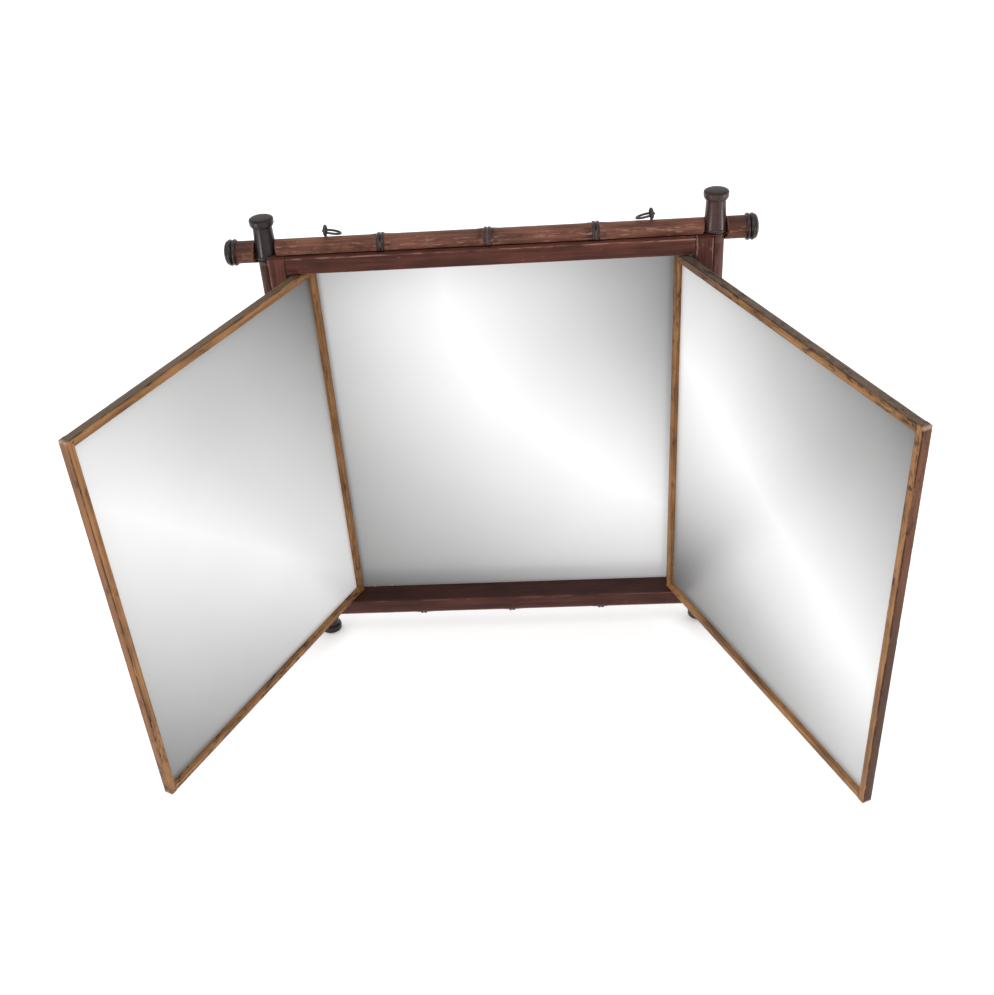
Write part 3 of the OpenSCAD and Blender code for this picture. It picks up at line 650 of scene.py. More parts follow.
def bamboo_finish(name, along, crossing, radius, stand, seam, nodes_at, black_from, tones, black_tone,
                  flecked, seed, rise=0.0):
    """Stained cane along X or Z. It is crossed at crossing, stands clear of its board by stand with a
    painted shade line seam wide there, has a node every nodes_at and is painted from black_from to its ends."""
    paint = Paint(name, SATIN | {"Coat Roughness": 0.24})
    x, y, z = paint.axes(paint.place)
    run = x if along == "X" else z
    out = abs(z) - POLE_Z if along == "X" else abs(x) - POST_X
    on_stick = abs(run - rise)
    nearest = abs(on_stick / nodes_at - (on_stick / nodes_at).maths("ROUND")) * nodes_at
    inside = on_stick.ramp(END_FROM, END_FROM - 10 * MM)
    at_bead = nearest.ramp(3.5 * MM, 2.7 * MM) * inside
    near_node = nearest.ramp(12 * MM, 3 * MM) * inside
    groove = nearest.ramp(0.55 * MM, 0.2 * MM) * inside
    smudge = paint.noise(70, 3, 0.6, seed + 2)
    shade = paint.noise(stretch(along, 9, 60), 2, 0.5, seed + 8)
    ends = on_stick.ramp(black_from, black_from + 1.2 * MM)
    past = abs(run).ramp(crossing - 9 * MM, crossing - 6 * MM)
    stub = abs(run).ramp(crossing - 2 * MM, crossing + 4 * MM) * (out / radius).ramp(-0.3, 0.7)
    # Painted light: the stick's walls next to a crossing, in the lap, are painted a lighter brown, standing
    # for light bounced into the notch.
    beside = abs(abs(run) - crossing).ramp(9.6 * MM, 9.4 * MM) * (1.0 - ends)
    # Painted shade: a dark line where the stick meets its board.
    seat = (out + stand).ramp(seam, seam * 0.4) * abs(run).ramp(crossing, crossing - 3 * MM)
    crown = ((y - AXIS_Y) / radius).ramp(-0.2, -0.95) * smudge.ramp(0.44, 0.6)
    facing = ((out / radius).ramp(-0.9, -0.1) * (out / radius).ramp(0.95, 0.5)
              * (y - AXIS_Y).ramp(0.0, -4 * MM))
    grain = paint.noise(stretch(along, 55, 420), 5, 0.68, seed + 5)
    rubbed = facing * grain.ramp(0.53, 0.63) * smudge.ramp(0.38, 0.56) * 0.75
    scratch = facing * paint.spots(stretch(along, 70, 520), 0.3, seed + 6)
    scratch = scratch * shade.ramp(0.44, 0.56) * 0.8
    # Darker near the nodes in patches, a little darker past the crossing, more on the outer side of the stub,
    # and in streaky patches.
    dirty = (near_node * smudge.ramp(0.46, 0.58) * 0.85).at_least(past * 0.25).at_least(stub * 0.6)
    dirty = dirty.at_least(shade.ramp(0.54, 0.68) * smudge.ramp(0.4, 0.6) * 0.55)
    colour, rough, height = stained(paint, along, *tones, seed,
                                    rubbed.at_least(scratch) * flecked, dirty, flecks=0.6 * flecked)
    black = at_bead.at_least(ends)
    # Olive patches on the black paint: partly worn paint, partly a painted sheen.
    worn = black * smudge.ramp(0.57, 0.72) * 0.45
    # Painted shade: the flat top of a post's cap, which faces the light, is painted darker.
    shaded_cap_top = on_stick.ramp(black_from + CAP_TOP - 0.8 * MM, black_from + CAP_TOP)
    colour = paint.layers(
        colour, (beside, LAP_WALL_PAINTED_LIGHT), (black * (0.97 - 0.35 * crown * inside), black_tone),
        (worn, OLIVE_WEAR_AND_SHEEN), (shaded_cap_top * 0.7, PAINTED_SHADE),
        (groove * smudge.ramp(0.4, 0.5) * 0.8, PALE_BARE), (seat, PAINTED_SHADE))
    return paint.finish(colour, rough - black * 0.12, height * (1.0 - black * 0.7), 0.22 * MM,
                        coat=black * (1.0 - shaded_cap_top) * (0.34 - worn * 0.3))


POLE_TONES = (0.052, 0.019, 0.012, 1), (0.168, 0.067, 0.043, 1)
POSTS = {
    "left": {"rise": 0.0, "black_tone": BLACKENED,
             "tones": ((0.028, 0.010, 0.007, 1), (0.066, 0.023, 0.016, 1))},
    "right": {"rise": 3 * MM, "black_tone": BROWN_BLACK,
              "tones": ((0.042, 0.017, 0.012, 1), (0.104, 0.042, 0.031, 1))},
}
pole_finish = bamboo_finish(
    "stained pole", "X", crossing=POST_X, radius=POLE_R, stand=1.5 * MM, seam=1.1 * MM, nodes_at=POLE_NODES,
    black_from=198.6 * MM, tones=POLE_TONES, black_tone=BLACKENED, flecked=1.0, seed=2.0)
post_finishes = {
    word: bamboo_finish(
        f"stained {word} post", "Z", crossing=POLE_Z, radius=POST_R, stand=2.5 * MM, seam=2.2 * MM,
        nodes_at=POST_NODES, black_from=176.3 * MM, flecked=0.3, seed=9.0, **post)
    for word, post in POSTS.items()}
print("finishes:", pole_finish.name, [finish.name for finish in post_finishes.values()])

# %% [markdown]
# ## Poles and posts
# Poles and posts cross in half laps: at a crossing the post keeps its front half and the pole its back
# half. The cutter for a pole is the box's own block plus the outline of each post, drawn forward from
# the axis plane. The cutter for a post is the block plus the outline of each pole, drawn backward.

# %% Make the sticks
SIDES = 72
UNEVENNESS = 0.12 * MM
BOX_HALF = Vector((173.5 * MM, 0, 182.5 * MM))
BOX_FRONT = -30 * MM
PAST = 3 * MM


def end_outline(profile, axis_at, end, upright, rise=0.0):
    """The outline of a stick's one end, as (x, z) points."""
    points = [(r, z) for r, z in profile if z > END_FROM]
    both = points + [(-r, z) for r, z in reversed(points) if r > 0]
    if upright:
        return [(axis_at + r, end * z + rise) for r, z in both]
    return [(end * z, axis_at + r) for r, z in both]


def lap_cutter(side, for_pole):
    """What a stick's cutter holds: the box's block, and the ends of the two sticks that cross it."""
    def fill(bm):
        add_block(bm, (-BOX_HALF.x, BOX_FRONT, -BOX_HALF.z), (BOX_HALF.x, 0, BOX_HALF.z))
        for end, word in ((-1, "left"), (1, "right")):
            if for_pole:
                outline = end_outline(post_profile, end * POST_X, side, True, POSTS[word]["rise"])
                add_prism(bm, outline, AXIS_Y - POLE_R - PAST, AXIS_Y)
            else:
                outline = end_outline(pole_profile, end * POLE_Z, side, False)
                add_prism(bm, outline, AXIS_Y, AXIS_Y + POLE_R + PAST)
    return fill


def stick(name, profile, place, turn, fill, finish, seed):
    """One pole or post from the lathe."""
    points = bpy.data.meshes.new(name + " profile")
    points.from_pydata([(r, 0, z) for r, z in profile], [], [])
    tool = cutter(name + " cutter", fill)
    made = through_tree(name, lathe, points, {
        "Sides": SIDES, "Unevenness": UNEVENNESS, "Seed": seed, "Turn": turn, "Place": place,
        "Cutter": tool, "Finish": finish})
    bpy.data.objects.remove(tool)
    return made


def dress(piece, body, node):
    """The piece rides on a body and stands for a CAD node, which it hides."""
    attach(piece, body)
    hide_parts(node)


for side, word in ((1, "top"), (-1, "bottom")):
    made = stick("turned_pole_" + word, pole_profile, (0, AXIS_Y, side * POLE_Z), (0, math.pi / 2, 0),
                 lap_cutter(side, True), pole_finish, 3.1 + side)
    dress(made, "box", "bamboo_pole_" + word)
    print(made.name, len(made.data.polygons), "faces")
for side, word in ((1, "right"), (-1, "left")):
    made = stick("turned_post_" + word, post_profile, (side * POST_X, AXIS_Y, POSTS[word]["rise"]),
                 (0, 0, 0), lap_cutter(side, False), post_finishes[word], 7.3 + side)
    dress(made, "box", "bamboo_post_" + word)
    print(made.name, len(made.data.polygons), "faces")

# %% [markdown]
# ## Worn bars
# Boards and frame members are straight bars that a century of handling has softened: the long edges
# are rounded unevenly, with nicks, and the faces have shallow dents. A bevel modifier would round every
# edge alike, so the bar is swept instead: a rounded section repeated every few millimetres, with each
# point pushed inwards by noise, most of all on the edges. Wood only ever goes missing, so a bar never
# grows past its CAD solid. Rebates are cut afterwards with plain blocks.

# %% Sweep a worn bar
STEP = 2.5 * MM
NEAR_ENDS = [0, 0.15 * MM, 0.4 * MM, 0.8 * MM, 1.3 * MM]
SOFT_SCALE, NICK_SCALE, DENT_SCALE = 0.045, 0.16, 0.11  # noise cells per millimetre


def bar_section(width, height, edge):
    """Points round a rectangle with round corners: (x, y, outward normal, how much of an edge it is)."""
    points = []
    for corner, (cx, cy) in enumerate([(width - edge, edge), (width - edge, height - edge),
                                       (edge, height - edge), (edge, edge)]):
        for a in arc(4, corner * 90 - 90, corner * 90):
            normal = Vector((math.cos(a), math.sin(a)))
            weight = math.sin(2 * (a - math.radians(corner * 90 - 90)))
            points.append((cx + edge * normal.x, cy + edge * normal.y, normal, abs(weight)))
        run = (height, width)[corner % 2] - 2 * edge
        steps = max(2, round(run / STEP))
        x0, y0, normal, _ = points[-1]
        ahead = Vector((-normal.y, normal.x))
        for i in range(1, steps):
            near_edge = max(0.0, 1 - min(i, steps - i) * run / steps / (1.5 * MM)) * 0.4
            points.append((x0 + ahead.x * run * i / steps, y0 + ahead.y * run * i / steps,
                           normal, near_edge))
    return points


def bar_stations(length):
    """Places along a bar, closer together near its ends."""
    first, rest = NEAR_ENDS[-1], length - 2 * NEAR_ENDS[-1]
    steps = round(rest / STEP)
    middle = [first + rest * i / steps for i in range(1, steps)]
    return NEAR_ENDS + middle + [length - s for s in reversed(NEAR_ENDS)]


def worn_bar(name, low, high, along, edge, seed, wear, cuts, finish, shape=None, matrix=None):
    """A straight bar between two corners, its wear in metres, its rebates cut as blocks."""
    low, high = Vector(low), Vector(high)
    axis = "XYZ".index(along)
    first, second = [(1, 2), (2, 0), (0, 1)][axis]
    size = high - low
    section = bar_section(size[first], size[second], edge)
    bm = bmesh.new()
    loops = []
    for station in bar_stations(size[axis]):
        loop = []
        for x, y, normal, weight in section:
            place = Vector((0, 0, 0))
            place[first], place[second], place[axis] = low[first] + x, low[second] + y, low[axis] + station
            spot = place * 1000 + Vector((seed, seed * 2.3, seed * 0.7))
            soft = 0.5 + 0.5 * noise.noise(spot * SOFT_SCALE)
            nick = max(0.0, noise.noise(spot * NICK_SCALE + Vector((9, 4, 2))) - 0.28) * 2.2
            dent = max(0.0, noise.noise(spot * DENT_SCALE) - 0.35)
            depth = wear * (weight * (0.55 * soft + 1.6 * nick) + 0.7 * dent + 0.10 * soft)
            place[first] -= normal.x * depth
            place[second] -= normal.y * depth
            loop.append(bm.verts.new(shape(place) if shape else place))
        loops.append(loop)
    count = len(section)
    for near, far in zip(loops, loops[1:]):
        for i in range(count):
            bm.faces.new((near[i], near[(i + 1) % count], far[(i + 1) % count], far[i]))
    bm.faces.new(list(reversed(loops[0])))
    bm.faces.new(loops[-1])
    bmesh.ops.recalc_face_normals(bm, faces=bm.faces)
    mesh = bpy.data.meshes.new(name + " blank")
    bm.to_mesh(mesh)
    bm.free()
    piece = link(mesh)
    tool = cutter(name + " rebates", lambda blocks: [add_block(blocks, *cut) for cut in cuts])
    trim = piece.modifiers.new("rebates", "BOOLEAN")
    trim.operation, trim.solver, trim.object = "DIFFERENCE", "EXACT", tool
    trim.use_self = True
    made = applied(piece, name, finish)
    bpy.data.objects.remove(tool)
    if matrix:
        made.data.transform(matrix)
        close_up(made.data)
    return made


print("section of a side board:", len(bar_section(13.5 * MM, 30 * MM, 0.8 * MM)), "points")

# %% [markdown]
# ## The box
# Four boards make a shallow open box: the rails butt between the side boards, and the centre glass and
# the back sit in rebates. The stain is the reddest of the piece. The front edges are rubbed to a thin
# pale line, and the corners of the opening are darker in patches. The inside is darker than the front,
# as painted shade that deepens away from the front edge. The right side board has cracked along its
# top joint, where a pale ragged line shows.

# %% Box finish and boards
OPEN_HALF_X, OPEN_HALF_Z = 160 * MM, 169 * MM
GLASS_FRONT, GLASS_BACK = -7 * MM, -4 * MM
GLASS_HALF_X, GLASS_HALF_Z, BACK_HALF_X, BACK_HALF_Z = 165 * MM, 174 * MM, 169 * MM, 178 * MM
OVERLAP = 0.01 * MM
BOARD_RELIEF = 0.3 * MM


def board_finish(name, along, tones, seed, bare=PALE_BARE, crack=0.0):
    """Red-brown stain with rubbed front edges, for boards along X or Z."""
    paint = Paint(name, SATIN)
    x, y, z = paint.axes(paint.place)
    patchy = paint.noise(stretch(along, 45, 200), 4, 0.6, seed + 1)
    across = abs(x) if along == "Z" else abs(z)
    inner, outer = (OPEN_HALF_X, BOX_HALF.x) if along == "Z" else (OPEN_HALF_Z, BOX_HALF.z)
    front = y.ramp(BOX_FRONT + 1.2 * MM, BOX_FRONT + 0.2 * MM)
    line = abs(across - inner).ramp(1.1 * MM, 0.2 * MM).at_least(abs(across - outer).ramp(1.3 * MM, 0.3 * MM))
    rubbed = front * line * patchy.ramp(0.42, 0.6) * 0.8
    from_joint = abs(abs(x) - OPEN_HALF_X)
    # The corners of the opening are darker, in patches.
    corner = (from_joint + abs(abs(z) - OPEN_HALF_Z)).ramp(16 * MM, 2 * MM)
    # Painted shade: the inside faces of the opening darken from 1 to 4 mm behind the front.
    inside = (across - inner).ramp(0.5 * MM, 0.1 * MM) * y.ramp(BOX_FRONT + 1 * MM, BOX_FRONT + 4 * MM)
    joint = from_joint.ramp(0.7 * MM, 0.25 * MM) * (abs(z) - OPEN_HALF_Z).ramp(0.0, 0.3 * MM)
    # Mixed to the dark colour: patchy corners, the painted shade inside and the dark joints.
    dirty = (corner * patchy.ramp(0.42, 0.62) * 0.7).at_least(inside * 0.45).at_least(joint * 0.9)
    colour, rough, height = stained(paint, along, *tones, seed, rubbed, dirty, bare)
    if crack:
        wander = (paint.noise(180, 4, 0.7, seed + 9) - 0.5) * (6 * MM)
        split = abs(x - OPEN_HALF_X - 1.2 * MM + wander).ramp(0.8 * MM, 0.3 * MM)
        colour = paint.mix(split * (z - OPEN_HALF_Z).ramp(-1 * MM, 0.0) * crack, colour, PALE_BARE)
    return paint.finish(colour, rough, height, BOARD_RELIEF)


RED_TONES = (0.037, 0.0125, 0.009, 1), (0.098, 0.031, 0.021, 1)
SIDE_TONES = (0.050, 0.018, 0.013, 1), (0.125, 0.045, 0.032, 1)
DARK_RED_TONES = (0.034, 0.013, 0.011, 1), (0.080, 0.028, 0.022, 1)
LOW_RAIL_BARE = (0.14, 0.062, 0.045, 1)
board_finishes = {
    "left": board_finish("red stained side", "Z", SIDE_TONES, 29.0),
    "right": board_finish("dark red stained side", "Z", DARK_RED_TONES, 33.0, crack=0.6),
    "bottom": board_finish("dark red stained rail", "X", DARK_RED_TONES, 25.0, LOW_RAIL_BARE),
    "top": board_finish("red stained rail", "X", RED_TONES, 21.0),
}

BOARD_EDGE, BOARD_WEAR = 0.8 * MM, 0.35 * MM
POCKETS = [((-GLASS_HALF_X, GLASS_FRONT, -GLASS_HALF_Z), (GLASS_HALF_X, GLASS_BACK + OVERLAP, GLASS_HALF_Z)),
           ((-BACK_HALF_X, GLASS_BACK, -BACK_HALF_Z), (BACK_HALF_X, PAST, BACK_HALF_Z))]
for side, word in ((-1, "left"), (1, "right")):
    xs = sorted((side * OPEN_HALF_X, side * BOX_HALF.x))
    made = worn_bar("side_board_" + word, (xs[0], BOX_FRONT, -BOX_HALF.z), (xs[1], 0, BOX_HALF.z), "Z",
                    BOARD_EDGE, 11.0 + side, BOARD_WEAR, POCKETS, board_finishes[word])
    dress(made, "box", "carcass_stile_" + word)
for side, word in ((-1, "bottom"), (1, "top")):
    zs = sorted((side * OPEN_HALF_Z, side * BOX_HALF.z))
    made = worn_bar("board_" + word, (-OPEN_HALF_X, BOX_FRONT, zs[0]), (OPEN_HALF_X, 0, zs[1]), "X",
                    BOARD_EDGE, 17.0 + side, BOARD_WEAR, POCKETS, board_finishes[word])
    dress(made, "box", "carcass_rail_" + word)
print("boards made; the last has", len(made.data.polygons), "faces")

# %% [markdown]
# ## The wing frames
# Each wing is four thin golden-brown members round a glass, 6.5 mm wide and 7.5 mm thick. The glass
# side kept its colour, the outer side is redder, and the top, which collects dust, is grey-brown. We
# make a wing closed, with its pin at the origin, and then turn it to where the photograph shows it.
# The right wing is the mirror image of that, a little wider. Its top rail starts dull by the hinge, and
# its outer side is blackened low down. The dirt in both grows towards one end of their uprights.

# %% Wing frame finish
WING_HALF = 168.25 * MM
WING_T, MEMBER, PIN_EDGE = 7.5 * MM, 6.5 * MM, 2.8 * MM
WINGS = {
    "left": {"width": 281.8 * MM, "pin": (-0.144, -0.013, 0), "turn": math.radians(-117.47), "flip": 1,
             "dull": 0.0, "red": 0.45, "black": 0.0, "dirty_from": -20 * MM, "dirty_to": -130 * MM},
    "right": {"width": 292.8 * MM, "pin": (0.149, -0.0216, 0), "turn": math.radians(115.01), "flip": -1,
              "dull": 0.75, "red": 0.85, "black": 0.65, "dirty_from": 20 * MM, "dirty_to": 140 * MM},
}
HONEY_TONES = (0.112, 0.050, 0.019, 1), (0.322, 0.160, 0.064, 1)
DULL_BROWN = (0.105, 0.066, 0.048, 1)
SIDE_STAIN = (0.098, 0.033, 0.019, 1)
SIDE_BLACK = (0.030, 0.017, 0.012, 1)
DUST = (0.058, 0.048, 0.038, 1)
ORANGE_BARE = (0.28, 0.10, 0.04, 1)
TIP_BARE = (0.42, 0.27, 0.21, 1)
WANDER = 60 * MM  # how far a soft border of dull or black stain wanders
MEMBER_RELIEF = 0.25 * MM


def member_finish(name, wing, along, seed):
    """Golden stain for the members of one wing that run along X or Z."""
    paint = Paint(name, SATIN, wing)
    x, y, z = paint.axes(paint.place)
    from_edge = wing["width"] / 2 - abs(x - (wing["width"] / 2 - PIN_EDGE))
    from_end = WING_HALF - abs(z)
    nearest, corner, to_face = from_edge.at_most(from_end), from_edge + from_end, y - WING_T / 2
    patchy = paint.noise(stretch(along, 40, 160), 4, 0.6, seed + 1)
    spread = paint.noise(55, 3, 0.55, seed + 4)
    side = from_edge.ramp(0.35 * MM, 0.1 * MM)
    top = (z - WING_HALF).ramp(-0.45 * MM, -0.1 * MM)
    under = (z + WING_HALF).ramp(0.45 * MM, 0.1 * MM)
    arris = nearest.ramp(1.0 * MM, 0.3 * MM) * to_face.ramp(-1.0 * MM, -0.2 * MM)
    lip = nearest.ramp(MEMBER - 1.1 * MM, MEMBER - 0.3 * MM) * to_face.ramp(-0.5 * MM, -0.1 * MM)
    tip = corner.ramp(5.5 * MM, 1.5 * MM) * corner.ramp(3 * MM, 1 * MM) * patchy.ramp(0.36, 0.5)
    nail_dirt = paint.spots(stretch(along, 50, 210), 0.26, seed + 6) * spread.ramp(0.5, 0.62)
    grimy = (z / wing["dirty_from"] - 1.0).ramp(0.0, wing["dirty_to"] / wing["dirty_from"] - 1.0)
    veins = paint.noise(stretch(along, 110, 300), 4, 0.7, seed + 7).ramp(0.515, 0.585)
    veins = veins * (spread.ramp(0.5, 0.64) * 0.5 + grimy * 0.6).at_most(1.0)
    colour, rough, height = stained(paint, along, *HONEY_TONES, seed, bare=ORANGE_BARE, flecks=0.4,
                                    rubbed=patchy.ramp(0.6, 0.72) * 0.35)
    if wing["dull"] and along == "X":
        upper = z.ramp(0.0, 1 * MM) * (x + spread * WANDER).ramp(125 * MM, 60 * MM)
        colour = paint.mix(upper * wing["dull"], colour, DULL_BROWN)
    colour = paint.mix(side * ((0.6 + patchy * 0.8) * wing["red"]).at_most(1.0), colour, SIDE_STAIN)
    if wing["black"]:
        lower = (z + spread * WANDER).ramp(90 * MM, 20 * MM)
        colour = paint.mix(side * lower * wing["black"], colour, SIDE_BLACK)
    colour = paint.layers(
        colour, (top * (0.55 + 0.5 * patchy).at_most(1.0), DUST), (under * 0.5, SIDE_STAIN),
        ((nail_dirt * 0.85).at_least(veins * 0.8), GRIME_AND_SHADE), (arris * patchy.ramp(0.40, 0.55) * 0.85, GRIME_AND_SHADE),
        (lip * spread.ramp(0.45, 0.6) * 0.6, GRIME_AND_SHADE), (tip * 0.6, TIP_BARE))
    return paint.finish(colour, rough, height - nail_dirt * 0.8, MEMBER_RELIEF)


def wing_matrix(wing):
    """From a closed wing with its pin at the origin to where it stands."""
    return (Matrix.Translation(wing["pin"]) @ Matrix.Rotation(wing["turn"], 4, "Z")
            @ Matrix.Diagonal((wing["flip"], 1, 1, 1)))


print("wing matrices:", [[round(v, 3) for v in wing_matrix(w).translation] for w in WINGS.values()])

# %% Wing members
WING_EDGE, WING_WEAR, CORNER_R = 0.5 * MM, 0.3 * MM, 1.2 * MM
GLASS_REACH, PANEL_REACH, LIP, WING_GLASS_T = 2.5 * MM, 4.0 * MM, 3.8 * MM, 2.0 * MM


def wing_corners(wing):
    """Rounds the outer corners of a wing, where it has been knocked."""
    x_low, x_high = -PIN_EDGE, wing["width"] - PIN_EDGE

    def shape(place):
        x, z = place.x, place.z
        cx = x_low + CORNER_R if x < x_low + CORNER_R else x_high - CORNER_R if x > x_high - CORNER_R else x
        cz = math.copysign(WING_HALF - CORNER_R, z) if abs(z) > WING_HALF - CORNER_R else z
        reach = math.hypot(x - cx, z - cz)
        if cx != x and cz != z and reach > CORNER_R:
            return Vector((cx + (x - cx) * CORNER_R / reach, place.y, cz + (z - cz) * CORNER_R / reach))
        return place
    return shape


def wing_pockets(wing):
    """The rebates for a wing's glass and its back panel, as blocks."""
    blocks = []
    for reach, depth in ((GLASS_REACH, LIP), (PANEL_REACH, LIP + WING_GLASS_T)):
        inset = MEMBER - reach
        blocks.append(((inset - PIN_EDGE, -WING_T / 2 - PAST, -WING_HALF + inset),
                       (wing["width"] - inset - PIN_EDGE, WING_T / 2 - depth, WING_HALF - inset)))
    return blocks


for word, wing in WINGS.items():
    upright = member_finish(word + " wing upright", wing, "Z", 41.0 + wing["flip"])
    level = member_finish(word + " wing rail", wing, "X", 47.0 + wing["flip"])
    left, right = -PIN_EDGE, wing["width"] - PIN_EDGE
    bars = {
        "hinge_stile": ((left, -WING_HALF), (left + MEMBER, WING_HALF), "Z", upright),
        "free_stile": ((right - MEMBER, -WING_HALF), (right, WING_HALF), "Z", upright),
        "rail_top": ((left + MEMBER, WING_HALF - MEMBER), (right - MEMBER, WING_HALF), "X", level),
        "rail_bottom": ((left + MEMBER, -WING_HALF), (right - MEMBER, MEMBER - WING_HALF), "X", level),
    }
    for i, (part, (low, high, along, finish)) in enumerate(bars.items()):
        made = worn_bar(f"{word}_frame_{part}", (low[0], -WING_T / 2, low[1]), (high[0], WING_T / 2, high[1]),
                        along, WING_EDGE, 61.0 + i * 5 + wing["flip"], WING_WEAR, wing_pockets(wing),
                        finish, wing_corners(wing), wing_matrix(wing))
        dress(made, word + "_wing", f"{word}_wing_{part}")
        print(made.name, len(made.data.polygons), "faces")

# %% [markdown]
# ## Silvered glass
# The three glasses are the CAD panes themselves: they are flat, so only their finish matters. Old
# silvering isn't a perfect mirror. It is slightly cloudy, so what it shows is soft and pale. Its soft
# reflection is painted into its colour: brightest along a sloping band and grey away from it, brighter
# towards a wing's pin and darker low down. It darkens to a soft line along the edges, partly where damp
# crept in and partly as painted shade of the frame's lip, and it has small specks of lost silver, most
# of them near those edges. A faint glow along the brightest band is a painted reflection of the white
# room in front, which a clear mirror would show.

# %% Glass finish
GLASS_DIM_REFLECTION = (0.084, 0.084, 0.084, 1)
GLASS_BRIGHT_REFLECTION = (0.74, 0.74, 0.74, 1)
# The dark of damp spots, and of the painted shade line along the glass edges under the frame's lip.
DAMP_AND_LIP_SHADE = (0.10, 0.095, 0.085, 1)
LOST_SILVER = (0.90, 0.90, 0.88, 1)
CLOUDINESS = 0.88
GLASS_REFLECTION_GLOW = 0.20
REFLECTION_RIDGE_PEAK = 0.9
REFLECTION_REACH = 0.235
BLACK, WHITE = (0, 0, 0, 1), (1, 1, 1, 1)
CENTRE_REFLECTION_RIDGE = (0.0315, -0.975, 3.37)
CENTRE_FLAKED = (-0.155, -0.14, 0.05), (0.003, 0.168, 0.035)
WING_REFLECTION_RIDGE_SEED = {"left": ((0.016, 1.05, 0.0), 7.0), "right": ((0.016, -1.90, 0.0), 13.0)}
# How much a wing's painted reflection brightens towards the pin, as painted light, and darkens low down.
WING_PIN_SIDE_LIGHT, WING_LOW_REFLECTION_DARKENING = 0.12, 0.18


def glass_finish(name, half_x, half_z, ridge, seed, wing=None, lift=0.0, foot=0.0, flaked=()):
    """Old silvering with a painted reflection: brightest along a ridge x = a + b z + c z z, and duller the
    further from it. The painted reflection is brighter towards the pin by lift and darker low down by foot,
    and the silvering is flaked round (x, z, reach) places."""
    paint = Paint(name, {"Emission Strength": GLASS_REFLECTION_GLOW})
    x, _, z = paint.axes(paint.in_wing(wing) if wing else paint.place)
    if wing:
        x = x - (wing["width"] / 2 - PIN_EDGE)
    cloud = paint.noise(7, 2, 0.5, seed)
    grainy = paint.noise(420, 3, 0.65, seed + 3)
    edge = (half_x - abs(x)).at_most(half_z - abs(z))
    # Painted reflection: the silvering's colour is brightest along a sloping band and greyer away from it.
    start, lean, bend = ridge
    steep = z * (2 * bend) + lean
    away = abs(x - start - z * lean - z * z * bend) / (steep * steep + 1.0).maths("SQRT")
    reflection_level = 1.0 - ((away + (cloud - 0.5) * 0.03) / REFLECTION_REACH).at_most(1.0)
    # On a wing the painted reflection is lifted towards the pin, as painted light.
    reflection_level = reflection_level * (REFLECTION_RIDGE_PEAK - x / half_x * lift)
    # The emission is a painted reflection of the white room, strongest along the same band.
    glow = paint.mix(reflection_level, BLACK, WHITE)
    paint.tree.links.new(glow.socket, paint.shader.inputs["Emission Color"])
    # Along the edges: partly damp creeping in, partly painted shade of the frame's lip.
    creep_and_lip_shade = edge.ramp(3.6 * MM, 0.2 * MM) * (0.15 + grainy * 0.9).at_most(1.0) * 0.7
    patch = paint.noise(16, 1, 0.5, seed + 4).ramp(0.56, 0.64) * 0.6
    for at_x, at_z, reach in flaked:
        patch = patch.at_least(abs(x - at_x).at_least(abs(z - at_z)).ramp(reach, reach * 0.7))
    lost = grainy.ramp(0.60, 0.66) * edge.ramp(2.6 * MM, 0.4 * MM) * patch
    foxing = paint.spots(230, 0.14, seed + 5) * edge.ramp(30 * MM, 3 * MM) * patch
    # The layers: the painted reflection, darker low down on a wing, the damp and lip-shade line, lost silver
    # and foxing.
    colour = paint.layers(
        paint.mix(reflection_level, GLASS_DIM_REFLECTION, GLASS_BRIGHT_REFLECTION), (z.ramp(-50 * MM, -165 * MM) * foot, BLACK),
        (creep_and_lip_shade, DAMP_AND_LIP_SHADE), (lost * 0.8, LOST_SILVER), (foxing * 0.3, DAMP_AND_LIP_SHADE))
    rough = 0.28 + lost * 0.4 + creep_and_lip_shade * 0.2
    return paint.finish(colour, rough, metal=(1.0 - CLOUDINESS) * (1.0 - lost * 0.8))


def repaint(node, finish):
    """Gives a CAD node a new finish; its mesh stays as it is."""
    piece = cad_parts[node]
    piece.data.materials.clear()
    piece.data.materials.append(finish)


repaint("centre_mirror_glass", glass_finish(
    "centre silvering", OPEN_HALF_X, OPEN_HALF_Z, CENTRE_REFLECTION_RIDGE, 5.0, flaked=CENTRE_FLAKED))
for word, wing in WINGS.items():
    repaint(word + "_wing_mirror_glass", glass_finish(
        word + " silvering", wing["width"] / 2 - MEMBER, WING_HALF - MEMBER, *WING_REFLECTION_RIDGE_SEED[word],
        wing, WING_PIN_SIDE_LIGHT, WING_LOW_REFLECTION_DARKENING))
print("three glasses silvered")

# %% [markdown]
# ## Bare backs
# Nobody stained what faces the wall. The back board and the wings' back panels are thin softwood that
# has only darkened with age, with open grain and a few water marks.

# %% Back finish
BACK_TONES = (0.12, 0.070, 0.036, 1), (0.34, 0.218, 0.125, 1)
BACK_BARE, BACK_GRIME = (0.42, 0.29, 0.18, 1), (0.07, 0.045, 0.028, 1)
WATER_MARK = (0.115, 0.068, 0.037, 1)


def back_finish(name, seed, wing=None):
    """Aged bare wood with an upright grain."""
    paint = Paint(name, wing=wing)
    colour, rough, height = stained(paint, "Z", *BACK_TONES, seed, bare=BACK_BARE, grime_and_shade=BACK_GRIME,
                                    gloss=0.66, flecks=0.3, blotch=0.10)
    rings = paint.noise(stretch("Z", 2.2, 48), 3, 0.5, seed + 13).ramp(0.45, 0.62)
    stain = paint.noise(9, 4, 0.55, seed + 2).ramp(0.52, 0.72)
    colour = paint.mix((rings * 0.4).at_least(stain * 0.3), colour, WATER_MARK)
    return paint.finish(colour, rough, height, BOARD_RELIEF)


